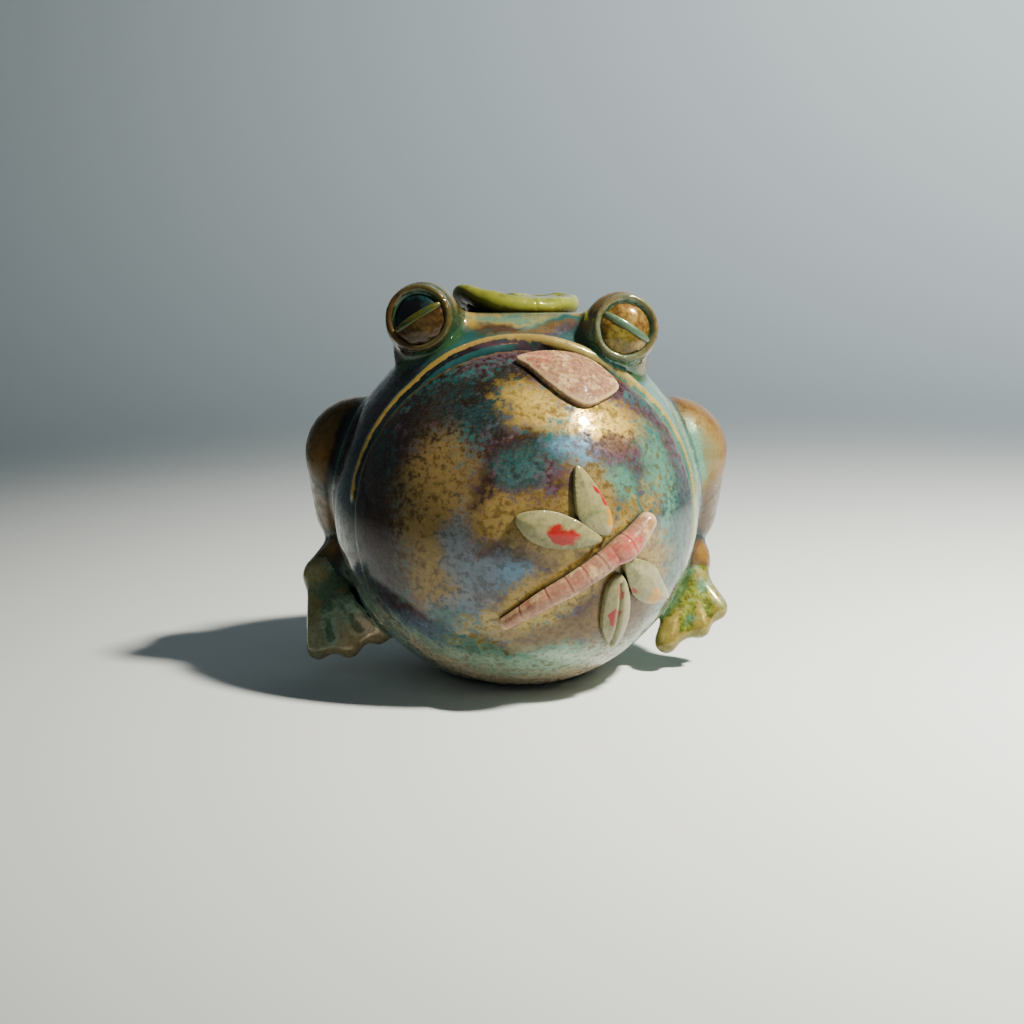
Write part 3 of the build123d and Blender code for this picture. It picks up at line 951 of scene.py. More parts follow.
@dataclass(frozen=True)
class Pad:
    """A flat pad of clay laid on the belly: its outline in millimetres around a place on the belly."""

    node: str
    azimuth: float
    elevation: float
    outline: tuple[Point, ...]
    thickness: float
    lines: tuple[tuple[Point, Point], ...] = ()
    line_depth: float = 0.4
    line_width: float = 0.5
    voxel: float = 0.3
    passes: int = 10
    pillow: float = 0.4
    pillow_reach: float = 3.6

    def build(self) -> bpy.types.Object:
        """Makes the pad and lays it on the belly."""
        outline = closed_curve(self.outline)
        pad = fuse([add_slab(outline, -0.8, self.thickness)], self.voxel, self.passes)
        places = coordinates(pad) / MM
        edge = np.min([np.hypot(*(places[:, :2] - point).T) for point in np.array(outline)], axis=0)
        fullness = 1 - self.pillow + self.pillow * np.clip(edge / self.pillow_reach, 0, 1) ** 0.6
        places[:, 2] = np.where(places[:, 2] > 0, places[:, 2] * fullness, places[:, 2])
        set_coordinates(pad, places * MM)
        score(pad, self.lines, self.line_depth, self.line_width)
        relief(pad)
        return DOME.wrap(pad, self.azimuth, self.elevation)


@dataclass(frozen=True)
class Roll:
    """A roll of clay laid on the belly: points with x, y and radius in millimetres around a place on the belly."""

    node: str
    azimuth: float
    elevation: float
    line: tuple[tuple[float, float, float], ...]
    rings: tuple[float, ...] = ()
    ring_depth: float = 0.17
    ring_width: float = 0.22
    sink: float = 0.3
    beads: int = 60
    voxel: float = 0.28
    passes: int = 6

    def build(self) -> bpy.types.Object:
        """Makes the roll and lays it on the belly."""
        path = open_curve(self.line, self.beads)
        balls = [add_ball(Vector((x, y, r * (1 - self.sink))), r, 20) for x, y, r in path]
        roll = fuse(balls, self.voxel, self.passes)
        places = coordinates(roll) / MM
        for share in self.rings:
            at = min(int(share * (self.beads - 1)), self.beads - 2)
            way = path[at + 1, :2] - path[at, :2]
            along = (places[:, :2] - path[at, :2]) @ (way / np.linalg.norm(way))
            out = places - np.array([path[at, 0], path[at, 1], path[at, 2] * (1 - self.sink)])
            out -= along[:, None] * np.append(way / np.linalg.norm(way), 0)
            near = np.linalg.norm(out, axis=1, keepdims=True)
            press = self.ring_depth * np.exp(-((along / self.ring_width) ** 2))[:, None] * (near < 2 * path[at, 2])
            places -= out / np.maximum(near, 1e-6) * press
        set_coordinates(roll, places * MM)
        relief(roll)
        return DOME.wrap(roll, self.azimuth, self.elevation)


@dataclass
class LilyPad:
    """The leaf on the crown: a notched disc with a thick rolled edge, its right end raised, in millimetres."""

    radius: float = 19.3
    roll: float = 3.1
    floor: float = 1.2
    back: float = 9.0
    lift: float = -1.6
    rise: float = 4.4
    rise_from: float = 5.0
    droop: float = 2.0
    notch_depth: float = 12.0
    notch_width: float = 9.0
    stalk_radius: float = 7.0

    def outline(self) -> list[Point]:
        """Gives the line along the middle of the rolled edge, with the notch behind."""
        reach = self.radius - self.roll
        half = math.asin(self.notch_width / 2 / reach)
        turns = np.linspace(math.pi / 2 + half, 2.5 * math.pi - half, 90)
        line = [(reach * math.cos(turn), reach * math.sin(turn)) for turn in turns]
        tip = (0.0, reach - self.notch_depth)
        for share in np.linspace(0, 1, 14)[1:]:
            line.append((line[89][0] * (1 - share), line[89][1] + share * (tip[1] - line[89][1])))
        for share in np.linspace(0, 1, 14)[1:-1]:
            line.append((share * line[0][0], tip[1] + share * (line[0][1] - tip[1])))
        return line

    def build(self) -> bpy.types.Object:
        """Makes the leaf and lays it on the crown."""
        line = self.outline()
        parts = [add_slab(line, self.floor, 2 * self.roll - 0.9)]
        parts += [add_ball(Vector((x, y, self.roll)), self.roll, 16) for x, y in line]
        # A dark lump under the leaf's raised right end that stands in for the shade there; the umber patches of the
        # leaf's glaze darken it.
        parts.append(add_limb(Vector((-10, 1, -2.6)), Vector((3, 0, -3.5)), self.stalk_radius - 1.5, self.stalk_radius))
        leaf = ripple(fuse(parts, 0.42, 10), 11, 0.8)
        score(leaf, self.veins(), 0.2, 0.28)
        places = coordinates(leaf) / MM
        share = np.clip((self.rise_from - places[:, 0]) / (self.rise_from + self.radius), 0, 1)
        turn = np.arctan2(places[:, 1], places[:, 0])
        span = np.hypot(places[:, 0], places[:, 1]) / self.radius
        front = np.clip((6 - places[:, 1]) / 14, 0, 1)
        places[:, 2] += self.rise * share**1.4 * front - self.droop * np.clip(places[:, 1] / self.radius, 0, 1) ** 2
        places[:, 2] += 0.35 * np.sin(4 * turn + 0.8) * span**2
        top = BALL.seat(0, 90)[0]
        places += np.array([top.x, top.y + self.back, top.z + self.lift])
        set_coordinates(leaf, places * MM)
        return relief(leaf)

    def veins(self) -> list[tuple[Point, Point]]:
        """Gives the lines pressed into the leaf, from its middle to its edge."""
        return [
            ((0.0, 2.0), (1.15 * self.radius * math.cos(turn), 1.15 * self.radius * math.sin(turn)))
            for turn in np.radians([-172, -72, -46, 20, 55, 125, 160])
        ]


WINGS = (
    Pad(
        "dragonfly_left_hindwing", 11.5, 2.7,
        ((12.5, -3.5), (7.1, 1.7), (-2.6, 5.6), (-11.7, 4.2), (-7.7, -2.6), (2.5, -5.4)), 2.7,
    ),
    Pad(
        "dragonfly_left_forewing", 21.9, 9.3,
        ((4.5, -8.7), (-2.3, -5.7), (-5.0, 0.0), (-3.8, 11.1), (1.0, 6.3), (5.6, -2.9)), 2.7,
    ),
    Pad(
        "dragonfly_right_hindwing", 33.8, -23.9,
        ((-2.1, 11.9), (-5.6, 7.3), (-3.7, -5.5), (3.6, -14.5), (4.8, -5.1), (2.0, 5.9)), 2.7,
        lines=(((-1.8, 9.0), (1.8, -12.0)),), line_depth=0.8, line_width=0.7,
    ),
    Pad(
        "dragonfly_right_forewing", 44.3, -16.3,
        ((-11.1, 8.5), (-1.0, 6.4), (5.1, 0.4), (11.8, -6.9), (2.0, -6.6), (-6.8, -1.6)), 2.7,
    ),
)
TONGUE = Pad(
    "tongue", 26.1, 51.8,
    ((-13.0, 9.2), (-3.4, 9.4), (6.2, 6.6), (11.4, 0.8), (13.4, -5.4), (6.8, -10.1), (0.2, -12.1), (-4.9, -8.5),
     (-8.8, -2.3), (-11.6, 4.8)),
    3.2, voxel=0.35, passes=12, pillow=0.5, pillow_reach=6.0,
)
ROLLS = (
    Roll(
        "dragonfly_abdomen", 20.9, -10.3,
        ((-21.7, -16.1, 2.0), (-12.8, -7.9, 2.7), (-3.4, -1.7, 3.1), (6.6, 4.9, 3.3)), rings=(0.18, 0.42, 0.6, 0.76, 0.9),
    ),
    Roll(
        "dragonfly_thorax", 20.9, -10.3,
        ((7.0, 5.2, 3.3), (9.6, 6.5, 3.9), (13.0, 8.6, 3.6), (18.0, 12.6, 2.9)), beads=36, rings=(0.5,),
    ),
)


def linear(code: str) -> tuple[float, float, float, float]:
    """Converts an sRGB hex colour to the linear colour that shaders take."""
    parts = [int(code[k : k + 2], 16) / 255 for k in (1, 3, 5)]
    return (*(c / 12.92 if c <= 0.04045 else ((c + 0.055) / 1.055) ** 2.4 for c in parts), 1.0)


class Tint(Enum):
    """The colours of the glazes, slips and bare clay."""

    GOLD = "#86703a"
    PALE_GOLD = "#a68d42"
    OCHRE = "#6a5020"
    TAN = "#665538"
    BROWN = "#4a2f1a"
    UMBER = "#1d120c"
    PLUM = "#4a3440"
    DEEP_TEAL = "#0f2e30"
    TEAL = "#20504f"
    SEA_GREEN = "#4d7f6c"
    LEAF = "#2a4a30"
    MOSS = "#3c4716"
    OLIVE = "#5f641f"
    LIME = "#7d8430"
    BLUE = "#4d7289"
    SLATE = "#566878"
    CELADON = "#90a890"
    MILK = "#c6cfc4"
    CREAM = "#d0bc98"
    SAGE = "#686b46"
    PINK = "#86604e"
    ROSE = "#9c4c42"
    RED = "#8a1d1a"
    YELLOW = "#b07c00"
    BLUSH = "#957862"
    BISQUE = "#b39a72"
    SAND = "#7f7b55"
    # Near black: the black glaze of one eye, and painted shade on the side away from the key light.
    INK = "#06090c"

    @property
    def colour(self) -> tuple[float, float, float, float]:
        """The tint as a linear colour."""
        return linear(self.value)


@dataclass(frozen=True)
class Stroke:
    """A patch of another glaze: where it is, how far it runs each way in millimetres, and its tint."""

    place: Point
    size: Point
    tint: Tint
    turn: float = 0.0
    strength: float = 1.0
    soft: float = 0.45


def add_node(tree: bpy.types.NodeTree, kind: str, values: dict, **settings: object) -> bpy.types.Node:
    """Adds a shader node, sets it up, and links or fills its inputs.

    Args:
        tree: The node tree.
        kind: The node's type.
        values: Sockets or values by input name or number.
        settings: The node's own properties.

    Returns:
        The node.
    """
    node = tree.nodes.new(kind)
    for name, value in settings.items():
        setattr(node, name, value)
    for key, value in values.items():
        if isinstance(value, bpy.types.NodeSocket):
            tree.links.new(value, node.inputs[key])
        else:
            node.inputs[key].default_value = value
    return node


class Surface(Enum):
    """What the strokes of a finish are laid on."""

    BALL = "ball"
    DOME = "dome"

    def seat(self, azimuth: float, elevation: float) -> Vector:
        """Gives the point at a place on this surface, in millimetres."""
        return BALL.seat(azimuth, elevation)[0] if self is Surface.BALL else DOME.point(azimuth, elevation)


@dataclass(frozen=True)
class Glaze:
    """A fired finish: a mottled ground, patches over it, thin on edges and pooled in hollows; it darkens as painted
    shade where other surfaces lie near, and a few of its patches are painted shade, a painted highlight and painted
    light.
    """

    name: str
    ground: tuple[Tint, Tint, Tint]
    edge: Tint
    pool: Tint
    strokes: tuple[Stroke, ...] = ()
    surface: Surface = Surface.BALL
    cloud: float = 24.0
    grain: float = 0.5
    grain_size: float = 0.5
    edge_strength: float = 0.8
    edge_at: float = 0.02
    edge_span: float = 0.06
    edge_break: float = 0.05
    pool_strength: float = 0.7
    # Reach and tint of the painted shade near other surfaces, which in narrow joins is pooled glaze as well.
    pool_reach: float = 1.6
    seam: Tint = Tint.UMBER
    flecks: float = 0.0
    flow: float = 1.0
    lustre: float = 0.25
    roughness: float = 0.3
    coat: float = 0.8
    speckle: float = 1.0
    bump: float = 0.25
    pinholes: float = 0.5

    def mix(self, tree: bpy.types.NodeTree, share: object, under: object, over: object) -> bpy.types.NodeSocket:
        """Lays one colour over another."""
        node = add_node(tree, "ShaderNodeMix", {0: share, 6: under, 7: over}, data_type="RGBA")
        return node.outputs[2]

    def sum(self, tree: bpy.types.NodeTree, first: object, second: object, factor: float) -> bpy.types.NodeSocket:
        """Gives first plus the second's difference from a half, times a factor."""
        scaled = add_node(tree, "ShaderNodeMath", {0: second, 1: factor, 2: -0.5 * factor}, operation="MULTIPLY_ADD")
        return add_node(tree, "ShaderNodeMath", {0: first, 1: scaled.outputs[0]}, operation="ADD").outputs[0]

    def ease(self, tree: bpy.types.NodeTree, value: object, low: float, high: float, top: float) -> bpy.types.NodeSocket:
        """Runs a value smoothly from nothing at low to top at high."""
        node = add_node(
            tree, "ShaderNodeMapRange", {"Value": value, 1: low, 2: high, 3: 0.0, 4: top}, interpolation_type="SMOOTHSTEP"
        )
        return node.outputs["Result"]

    def noise(self, tree: bpy.types.NodeTree, where: object, size: float, detail: float) -> bpy.types.Node:
        """Adds noise whose waves have a size in millimetres."""
        return add_node(
            tree, "ShaderNodeTexNoise", {"Vector": where, "Scale": 1 / (size * MM), "Detail": detail, "Roughness": 0.6}
        )

    def material(self) -> bpy.types.Material:
        """Builds the finish as a material."""
        material = bpy.data.materials.new(self.name)
        material.use_nodes = True
        tree = material.node_tree
        shader = tree.nodes["Principled BSDF"]
        where = add_node(tree, "ShaderNodeTexCoord", {}).outputs["Object"]
        wobble = self.noise(tree, where, 16, 3).outputs["Color"]
        offset = add_node(tree, "ShaderNodeVectorMath", {0: wobble, 1: (0.5, 0.5, 0.5)}, operation="SUBTRACT").outputs[0]
        offset = add_node(tree, "ShaderNodeVectorMath", {0: offset, "Scale": 14 * MM}, operation="SCALE").outputs[0]
        drawn = add_node(tree, "ShaderNodeVectorMath", {0: where, 1: offset}, operation="ADD").outputs[0]
        grain = self.noise(tree, where, self.grain_size, 5).outputs["Fac"]
        clump = self.noise(tree, where, 3.2, 4).outputs["Fac"]
        run = add_node(tree, "ShaderNodeVectorMath", {0: drawn, 1: (1, 1, self.flow)}, operation="MULTIPLY").outputs[0]
        cloud = self.sum(tree, self.noise(tree, run, self.cloud, 5).outputs["Fac"], grain, 0.5 * self.grain)
        ramp = add_node(tree, "ShaderNodeValToRGB", {0: cloud})
        stops = ramp.color_ramp.elements
        stops[0].position, stops[1].position = 0.36, 0.64
        stops.new(0.5)
        for stop, tint in zip(stops, self.ground):
            stop.color = tint.colour
        colour = ramp.outputs[0]
        for stroke in self.strokes:
            colour = self.lay(tree, stroke, colour, drawn, grain, clump)
        dark = self.ease(tree, grain, 0.56, 0.36, 0.6 * self.grain)
        colour = self.mix(tree, dark, colour, Tint.UMBER.colour)
        fleck = self.ease(tree, self.noise(tree, drawn, 0.7, 2).outputs["Fac"], 0.54, 0.66, self.flecks)
        colour = self.mix(tree, fleck, colour, Tint.PALE_GOLD.colour)
        bend = add_node(tree, "ShaderNodeAttribute", {}, attribute_name="relief").outputs["Fac"]
        bend = self.sum(tree, bend, clump, self.edge_break)
        edge = self.ease(tree, bend, self.edge_at, self.edge_at + self.edge_span, self.edge_strength)
        colour = self.mix(tree, edge, colour, self.edge.colour)
        hollow = self.ease(tree, bend, -self.edge_at, -self.edge_at - self.edge_span, self.pool_strength)
        colour = self.mix(tree, hollow, colour, self.pool.colour)
        # Painted shade: within the reach of other surfaces, as in the joins between pieces, under the leaf and where
        # the base meets the floor, the colour runs to the seam tint; in the narrow joins this is also where the glaze
        # pools. The coat thins in the same places.
        open_sky = add_node(tree, "ShaderNodeAmbientOcclusion", {"Distance": self.pool_reach * MM}, samples=6).outputs["AO"]
        seam = self.ease(tree, open_sky, 0.72, 0.3, 0.9)
        colour = self.mix(tree, seam, colour, self.seam.colour)
        cells = add_node(tree, "ShaderNodeTexVoronoi", {"Vector": where, "Scale": 1 / (3.6 * MM)})
        hole = self.ease(tree, cells.outputs["Distance"], 0.07, 0.04, 1.0)
        chance = add_node(tree, "ShaderNodeSeparateColor", {0: cells.outputs["Color"]}).outputs[0]
        chance = self.ease(tree, chance, 0.6, 0.61, self.pinholes)
        hole = add_node(tree, "ShaderNodeMath", {0: hole, 1: chance}, operation="MULTIPLY").outputs[0]
        colour = self.mix(tree, hole, colour, Tint.UMBER.colour)
        height = self.sum(tree, self.sum(tree, clump, grain, 0.12), hole, -0.6)
        bump = add_node(tree, "ShaderNodeBump", {"Strength": self.bump, "Distance": 0.5 * MM, "Height": height})
        tree.links.new(colour, shader.inputs["Base Color"])
        tree.links.new(bump.outputs[0], shader.inputs["Normal"])
        tree.links.new(self.ease(tree, clump, 0.3, 0.7, 2 * self.roughness), shader.inputs["Roughness"])
        shader.inputs["Metallic"].default_value = self.lustre
        shader.inputs["Specular IOR Level"].default_value = 0.06
        shader.inputs["Coat IOR"].default_value = 1.42
        tree.links.new(self.ease(tree, open_sky, 0.3, 0.8, self.coat), shader.inputs["Coat Weight"])
        shader.inputs["Coat Roughness"].default_value = 0.04
        return material

    def lay(
        self,
        tree: bpy.types.NodeTree,
        stroke: Stroke,
        under: object,
        drawn: object,
        grain: object,
        clump: object,
    ) -> bpy.types.NodeSocket:
        """Lays one patch over the colour so far, with a wandering and grainy border."""
        azimuth, elevation = stroke.place
        out = heading(azimuth, elevation)
        level = heading(azimuth + 90, 0)
        spin = math.radians(stroke.turn)
        along = level * math.cos(spin) + out.cross(level) * math.sin(spin)
        axes = Matrix((along, out.cross(along), out)).transposed()
        local = add_node(
            tree,
            "ShaderNodeMapping",
            {
                "Vector": drawn,
                "Location": self.surface.seat(azimuth, elevation) * MM,
                "Rotation": axes.to_euler(),
                "Scale": (stroke.size[0] * MM, stroke.size[1] * MM, 40 * MM),
            },
            vector_type="TEXTURE",
        )
        span = add_node(tree, "ShaderNodeVectorMath", {0: local.outputs[0]}, operation="LENGTH").outputs["Value"]
        span = self.sum(tree, self.sum(tree, span, grain, 1.3 * self.grain * self.speckle), clump, 0.9 * self.speckle)
        share = self.ease(tree, span, 1 + stroke.soft, 1 - stroke.soft, stroke.strength)
        return self.mix(tree, share, under, stroke.tint.colour)


SKIN_GROUND = (Tint.DEEP_TEAL, Tint.TEAL, Tint.PLUM)
SKIN_STROKES = (
    Stroke((72, 5), (38, 60), Tint.SEA_GREEN, 0, 0.75),
    # Painted reflection: the narrow pale band down the frog's left side.
    Stroke((84, 20), (5, 34), Tint.CELADON, -6, 0.7),
    Stroke((98, 22), (5, 30), Tint.OCHRE, -6, 0.8),
    Stroke((-105, 20), (8, 26), Tint.OCHRE, 10, 0.7),
    # Painted shade: the two near-black patches darken the frog's right side, away from the key light, on the body, lip,
    # eye mounds and legs alike.
    Stroke((-62, 20), (24, 56), Tint.INK, 0, 0.75),
    Stroke((-44, 54), (18, 12), Tint.INK, 20, 0.75),
    Stroke((-36, 66), (10, 5), Tint.LEAF, 20, 0.7),
    Stroke((52, 56), (16, 9), Tint.SEA_GREEN, -20, 0.8),
    Stroke((-20, 62), (20, 2.4), Tint.PLUM, 12, 0.9),
    Stroke((-8, 66), (18, 2.0), Tint.TEAL, 8, 0.9),
    Stroke((-16, 70), (15, 1.6), Tint.BROWN, 6, 0.8),
    Stroke((30, 66), (14, 2.4), Tint.PLUM, -12, 0.8),
    Stroke((40, 72), (12, 2.0), Tint.SEA_GREEN, -8, 0.8),
    Stroke((10, 78), (30, 4.2), Tint.PALE_GOLD, 0, 0.95),
    Stroke((24, 73), (12, 1.8), Tint.PALE_GOLD, -14, 0.8),
    Stroke((-10, 74), (10, 1.4), Tint.SEA_GREEN, 6, 0.8),
    Stroke((10, 69), (14, 1.5), Tint.OCHRE, 2, 0.7),
    Stroke((150, 20), (30, 22), Tint.OCHRE, 20, 0.7),
    Stroke((-150, 30), (26, 18), Tint.PLUM, -20, 0.7),
    Stroke((180, -15), (26, 14), Tint.SLATE, 0, 0.6),
)
BASE_STROKES = (
    Stroke((-20, -58), (60, 22), Tint.CELADON, 0, 0.9),
    Stroke((60, -54), (50, 22), Tint.CELADON, 0, 0.9),
    Stroke((160, -50), (70, 16), Tint.CELADON, 0, 0.9),
    Stroke((0, -90), (31, 31), Tint.CREAM, 0, 0.9),
)
GLAZES = {
    "body_glaze": Glaze(
        "Lustre glaze over the head and back", SKIN_GROUND, Tint.TEAL, Tint.TEAL, SKIN_STROKES + BASE_STROKES,
        grain=0.5, flow=1.6,
        edge_at=0.03, edge_break=0.1, seam=Tint.DEEP_TEAL,
    ),
    "belly_glaze": Glaze(
        "Gold and blue lustre glaze",
        (Tint.UMBER, Tint.PLUM, Tint.TEAL), Tint.OCHRE, Tint.TEAL,
        (
            Stroke((-26, 3), (15, 32), Tint.TAN, 8, 0.95),
            Stroke((-28, 14), (12, 14), Tint.GOLD, 20, 0.6),
            Stroke((-26, -14), (8, 14), Tint.GOLD, 10, 0.55),
            # Painted shade: the near-black patches darken the belly towards the frog's right, away from the key light.
            Stroke((-52, 5), (14, 46), Tint.INK, 0, 0.75),
            Stroke((-32, 40), (18, 11), Tint.INK, 35, 0.7),
            Stroke((-13, 40), (11, 10), Tint.DEEP_TEAL, 0, 0.9),
            Stroke((-8, 50), (12, 4), Tint.UMBER, 30, 0.8),
            Stroke((4, 41), (9, 7), Tint.PALE_GOLD, -30, 0.9),
            Stroke((33, 33), (13, 8), Tint.PALE_GOLD, -20, 1.0),
            Stroke((1, 27), (10, 6), Tint.UMBER, 0, 0.7),
            # Painted highlight: a pale blue sheen beside the key light's highlight on the belly.
            Stroke((20, 25.5), (9, 5), Tint.BLUE, -10, 0.95),
            Stroke((33, 25), (10, 5), Tint.PLUM, -10, 0.8),
            Stroke((31, 16), (9, 5), Tint.SEA_GREEN, -20, 0.8),
            Stroke((0, 20), (6, 6), Tint.TEAL, 0, 0.7),
            Stroke((51, 10), (7, 18), Tint.SEA_GREEN, 0, 0.8),
            Stroke((62, -2), (7, 16), Tint.DEEP_TEAL, 0, 0.7),
            Stroke((47, 3), (4, 7), Tint.PLUM, 0, 0.6),
            Stroke((-4, 5), (9, 6), Tint.GOLD, 10, 0.8),
            Stroke((-4, -4), (7, 4), Tint.UMBER, -20, 0.8),
            Stroke((-17, -8), (5, 14), Tint.SLATE, 0, 0.7),
            Stroke((-6, -11), (9, 6), Tint.SLATE, 10, 0.8),
            Stroke((0, -10), (5, 3), Tint.BLUE, 20, 0.7),
            Stroke((-16, -27), (12, 8), Tint.SLATE, -10, 0.8),
            Stroke((-20, -30), (10, 7), Tint.TEAL, -20, 0.8),
            Stroke((-36, -33), (12, 7), Tint.SLATE, -30, 0.8),
            Stroke((7, -41), (26, 5), Tint.SEA_GREEN, 0, 0.8),
            Stroke((4, -50), (44, 8), Tint.CELADON, 0, 0.9),
            Stroke((8, -68), (46, 14), Tint.CREAM, 0, 0.8),
            Stroke((58, -14), (8, 18), Tint.TEAL, 0, 0.8),
            Stroke((45, -38), (14, 8), Tint.CELADON, 30, 0.8),
            Stroke((11, 2), (16, 8), Tint.GOLD, -16, 0.9),
            Stroke((22, 9), (8, 13), Tint.GOLD, 8, 0.9),
            Stroke((16, -13), (30, 7.5), Tint.PALE_GOLD, 38, 0.95),
            Stroke((36, -25), (12, 17), Tint.OCHRE, 16, 0.9),
            Stroke((42, -12), (12, 10), Tint.GOLD, -30, 0.9),
            Stroke((10, -33), (16, 6), Tint.OCHRE, 10, 0.7),
            Stroke((42, -27), (7, 11), Tint.BROWN, 10, 0.6),
        ),
        surface=Surface.DOME, grain=1.0, grain_size=1.7, lustre=0.2, pool_reach=2.2, cloud=15, flecks=0.07, flow=0.6,
        seam=Tint.DEEP_TEAL, speckle=1.6, edge_strength=0.35,
    ),
    "lip_glaze": Glaze(
        "Gold lustre glaze on the lip", SKIN_GROUND, Tint.PALE_GOLD, Tint.TEAL, SKIN_STROKES, grain=0.5, flow=1.6,
        edge_at=0.03, edge_break=0.22, edge_strength=0.7, seam=Tint.DEEP_TEAL,
    ),
    "tongue_bisque": Glaze(
        "Bare pink clay", (Tint.BLUSH, Tint.PINK, Tint.BISQUE), Tint.BISQUE, Tint.MOSS,
        (Stroke((8, 58), (6, 4), Tint.ROSE, 0, 0.4), Stroke((36, 52), (8, 3), Tint.PINK, -30, 0.5)),
        surface=Surface.DOME, grain=0.75, grain_size=1.3, lustre=0.0, roughness=0.42, coat=0.1, bump=1.0, cloud=7, flecks=0.6,
    ),
    "pad_glaze": Glaze(
        "Olive leaf glaze", (Tint.MOSS, Tint.OLIVE, Tint.LIME), Tint.LIME, Tint.MOSS,
        # Painted shade: the two umber patches darken the leaf's raised right end and the lump beneath it, and the long
        # reach darkens the leaf's underside over the crown.
        (Stroke((-75, 74), (15, 15), Tint.UMBER, 0, 0.6), Stroke((-128, 73), (12, 12), Tint.UMBER, 0, 0.9)), grain=0.4, cloud=8, lustre=0.05, roughness=0.2, coat=0.6, pool_reach=14.0,
    ),
    "dragonfly_slip": Glaze(
        "Pink slip under clear glaze", (Tint.PINK, Tint.PINK, Tint.BISQUE), Tint.BISQUE, Tint.BROWN,
        (
            Stroke((29.6, -4.5), (5, 4.2), Tint.ROSE, 35, 0.95, 0.3),
            Stroke((40, 1), (4, 4), Tint.GOLD, 0, 0.5),
            Stroke((8, -19), (14, 2), Tint.ROSE, 38, 0.4),
        ),
        surface=Surface.DOME, grain=0.35, grain_size=1.0, cloud=6, lustre=0.0, roughness=0.25, pool_strength=0.45,
    ),
    "wing_glaze": Glaze(
        "Celadon glaze on the wings", (Tint.SAGE, Tint.SAND, Tint.SAND), Tint.SAND, Tint.MOSS,
        (
            Stroke((14.6, 1.5), (5.0, 2.0), Tint.RED, -20, 1.0, 0.2),
            Stroke((22.6, 11.4), (1.4, 4.5), Tint.RED, 40, 1.0, 0.12),
            Stroke((31.9, -16.3), (1.1, 4.2), Tint.RED, 6, 1.0, 0.12),
            Stroke((31.2, -27.1), (1.6, 3.2), Tint.RED, -12, 1.0, 0.12),
            Stroke((36.7, -16.3), (1.5, 1.5), Tint.RED, 0, 0.9, 0.15),
            Stroke((48.6, -20), (3.6, 1.6), Tint.YELLOW, -12, 1.0, 0.2),
            Stroke((26.2, 3.8), (2.2, 4.2), Tint.YELLOW, 16, 1.0, 0.25),
        ),
        surface=Surface.DOME, grain=0.3, grain_size=1.4, cloud=6, lustre=0.0, roughness=0.15, pinholes=1.0, edge_strength=0.4,
    ),
    "eye_rim_glaze": Glaze(
        "Brown and green glaze on the eye mounds", SKIN_GROUND, Tint.OCHRE, Tint.LEAF,
        (
            *SKIN_STROKES,
            Stroke((-62, 62), (16, 16), Tint.UMBER, 0, 0.85),
            Stroke((-52, 62), (8, 9), Tint.LEAF, 0, 0.7),
            Stroke((61, 58), (18, 18), Tint.OCHRE, 0, 0.8),
            Stroke((50, 54), (9, 9), Tint.SEA_GREEN, 0, 0.7),
        ),
        grain=0.7, grain_size=0.9, pool_reach=0.9, seam=Tint.LEAF, pool_strength=0.9, edge_at=0.03, edge_break=0.2,
        edge_strength=0.4,
    ),
    "right_eye_glaze": Glaze(
        "Black and blue glaze in the eye", (Tint.INK, Tint.INK, Tint.DEEP_TEAL), Tint.BROWN, Tint.INK, (), grain=0.1, cloud=7, lustre=0.1,
    ),
    "left_eye_glaze": Glaze(
        "Honey glaze in the eye", (Tint.BROWN, Tint.OCHRE, Tint.GOLD), Tint.GOLD, Tint.BROWN, (), grain=0.6, grain_size=1.2, cloud=6,
    ),
    "lid_glaze": Glaze(
        "Ochre glaze on the lids", (Tint.BROWN, Tint.OCHRE, Tint.GOLD), Tint.GOLD, Tint.MOSS,
        (Stroke((-62, 62), (20, 20), Tint.UMBER, 0, 0.7), Stroke((61, 56), (14, 6), Tint.OLIVE, 20, 0.5)),
        grain=0.7, grain_size=1.2, cloud=6,
    ),
    "lid_roll_glaze": Glaze(
        "Green glaze on the lid rolls", (Tint.LEAF, Tint.MOSS, Tint.MOSS), Tint.OCHRE, Tint.LEAF,
        (Stroke((61, 58), (20, 20), Tint.SEA_GREEN, 0, 0.6),), grain=0.5, cloud=6, edge_strength=0.4,
    ),
    "leg_glaze": Glaze(
        "Dark lustre glaze on the legs", (Tint.UMBER, Tint.DEEP_TEAL, Tint.TEAL), Tint.OCHRE, Tint.DEEP_TEAL,
        (
            *SKIN_STROKES,
            Stroke((84, 2), (6, 40), Tint.SEA_GREEN, 0, 0.8),
            Stroke((91, 2), (4, 36), Tint.GOLD, 0, 0.85),
            Stroke((99, 2), (9, 44), Tint.BROWN, 0, 0.9),
            Stroke((-84, 2), (9, 44), Tint.UMBER, 0, 0.8),
            Stroke((-101, 4), (7, 44), Tint.OCHRE, 0, 0.75),
        ),
        grain=0.6, coat=0.35, lustre=0.1,
    ),
    "foot_glaze": Glaze(
        "Green and brown glaze on the feet", (Tint.MOSS, Tint.OLIVE, Tint.SEA_GREEN), Tint.GOLD, Tint.LEAF,
        (
            # The celadon and cream on the right foot are its glaze, made lighter as painted light, since the body
            # shades that foot from the key light.
            Stroke((-84, -33), (22, 18), Tint.CELADON, 0, 0.85, 0.5),
            Stroke((-90, -26), (12, 6), Tint.LEAF, 0, 0.8),
            Stroke((-76, -42), (28, 6), Tint.CREAM, 0, 0.95, 0.6),
            Stroke((-102, -33), (4, 18), Tint.BROWN, 0, 0.85),
            Stroke((57, -38), (6, 6), Tint.PALE_GOLD, 0, 0.8),
            Stroke((70, -22), (6, 8), Tint.PLUM, 0, 0.85),
        ),
        grain=0.6, grain_size=1.2, cloud=9, edge_break=0.2, edge_strength=0.45, pool_strength=0.7,
    ),
}


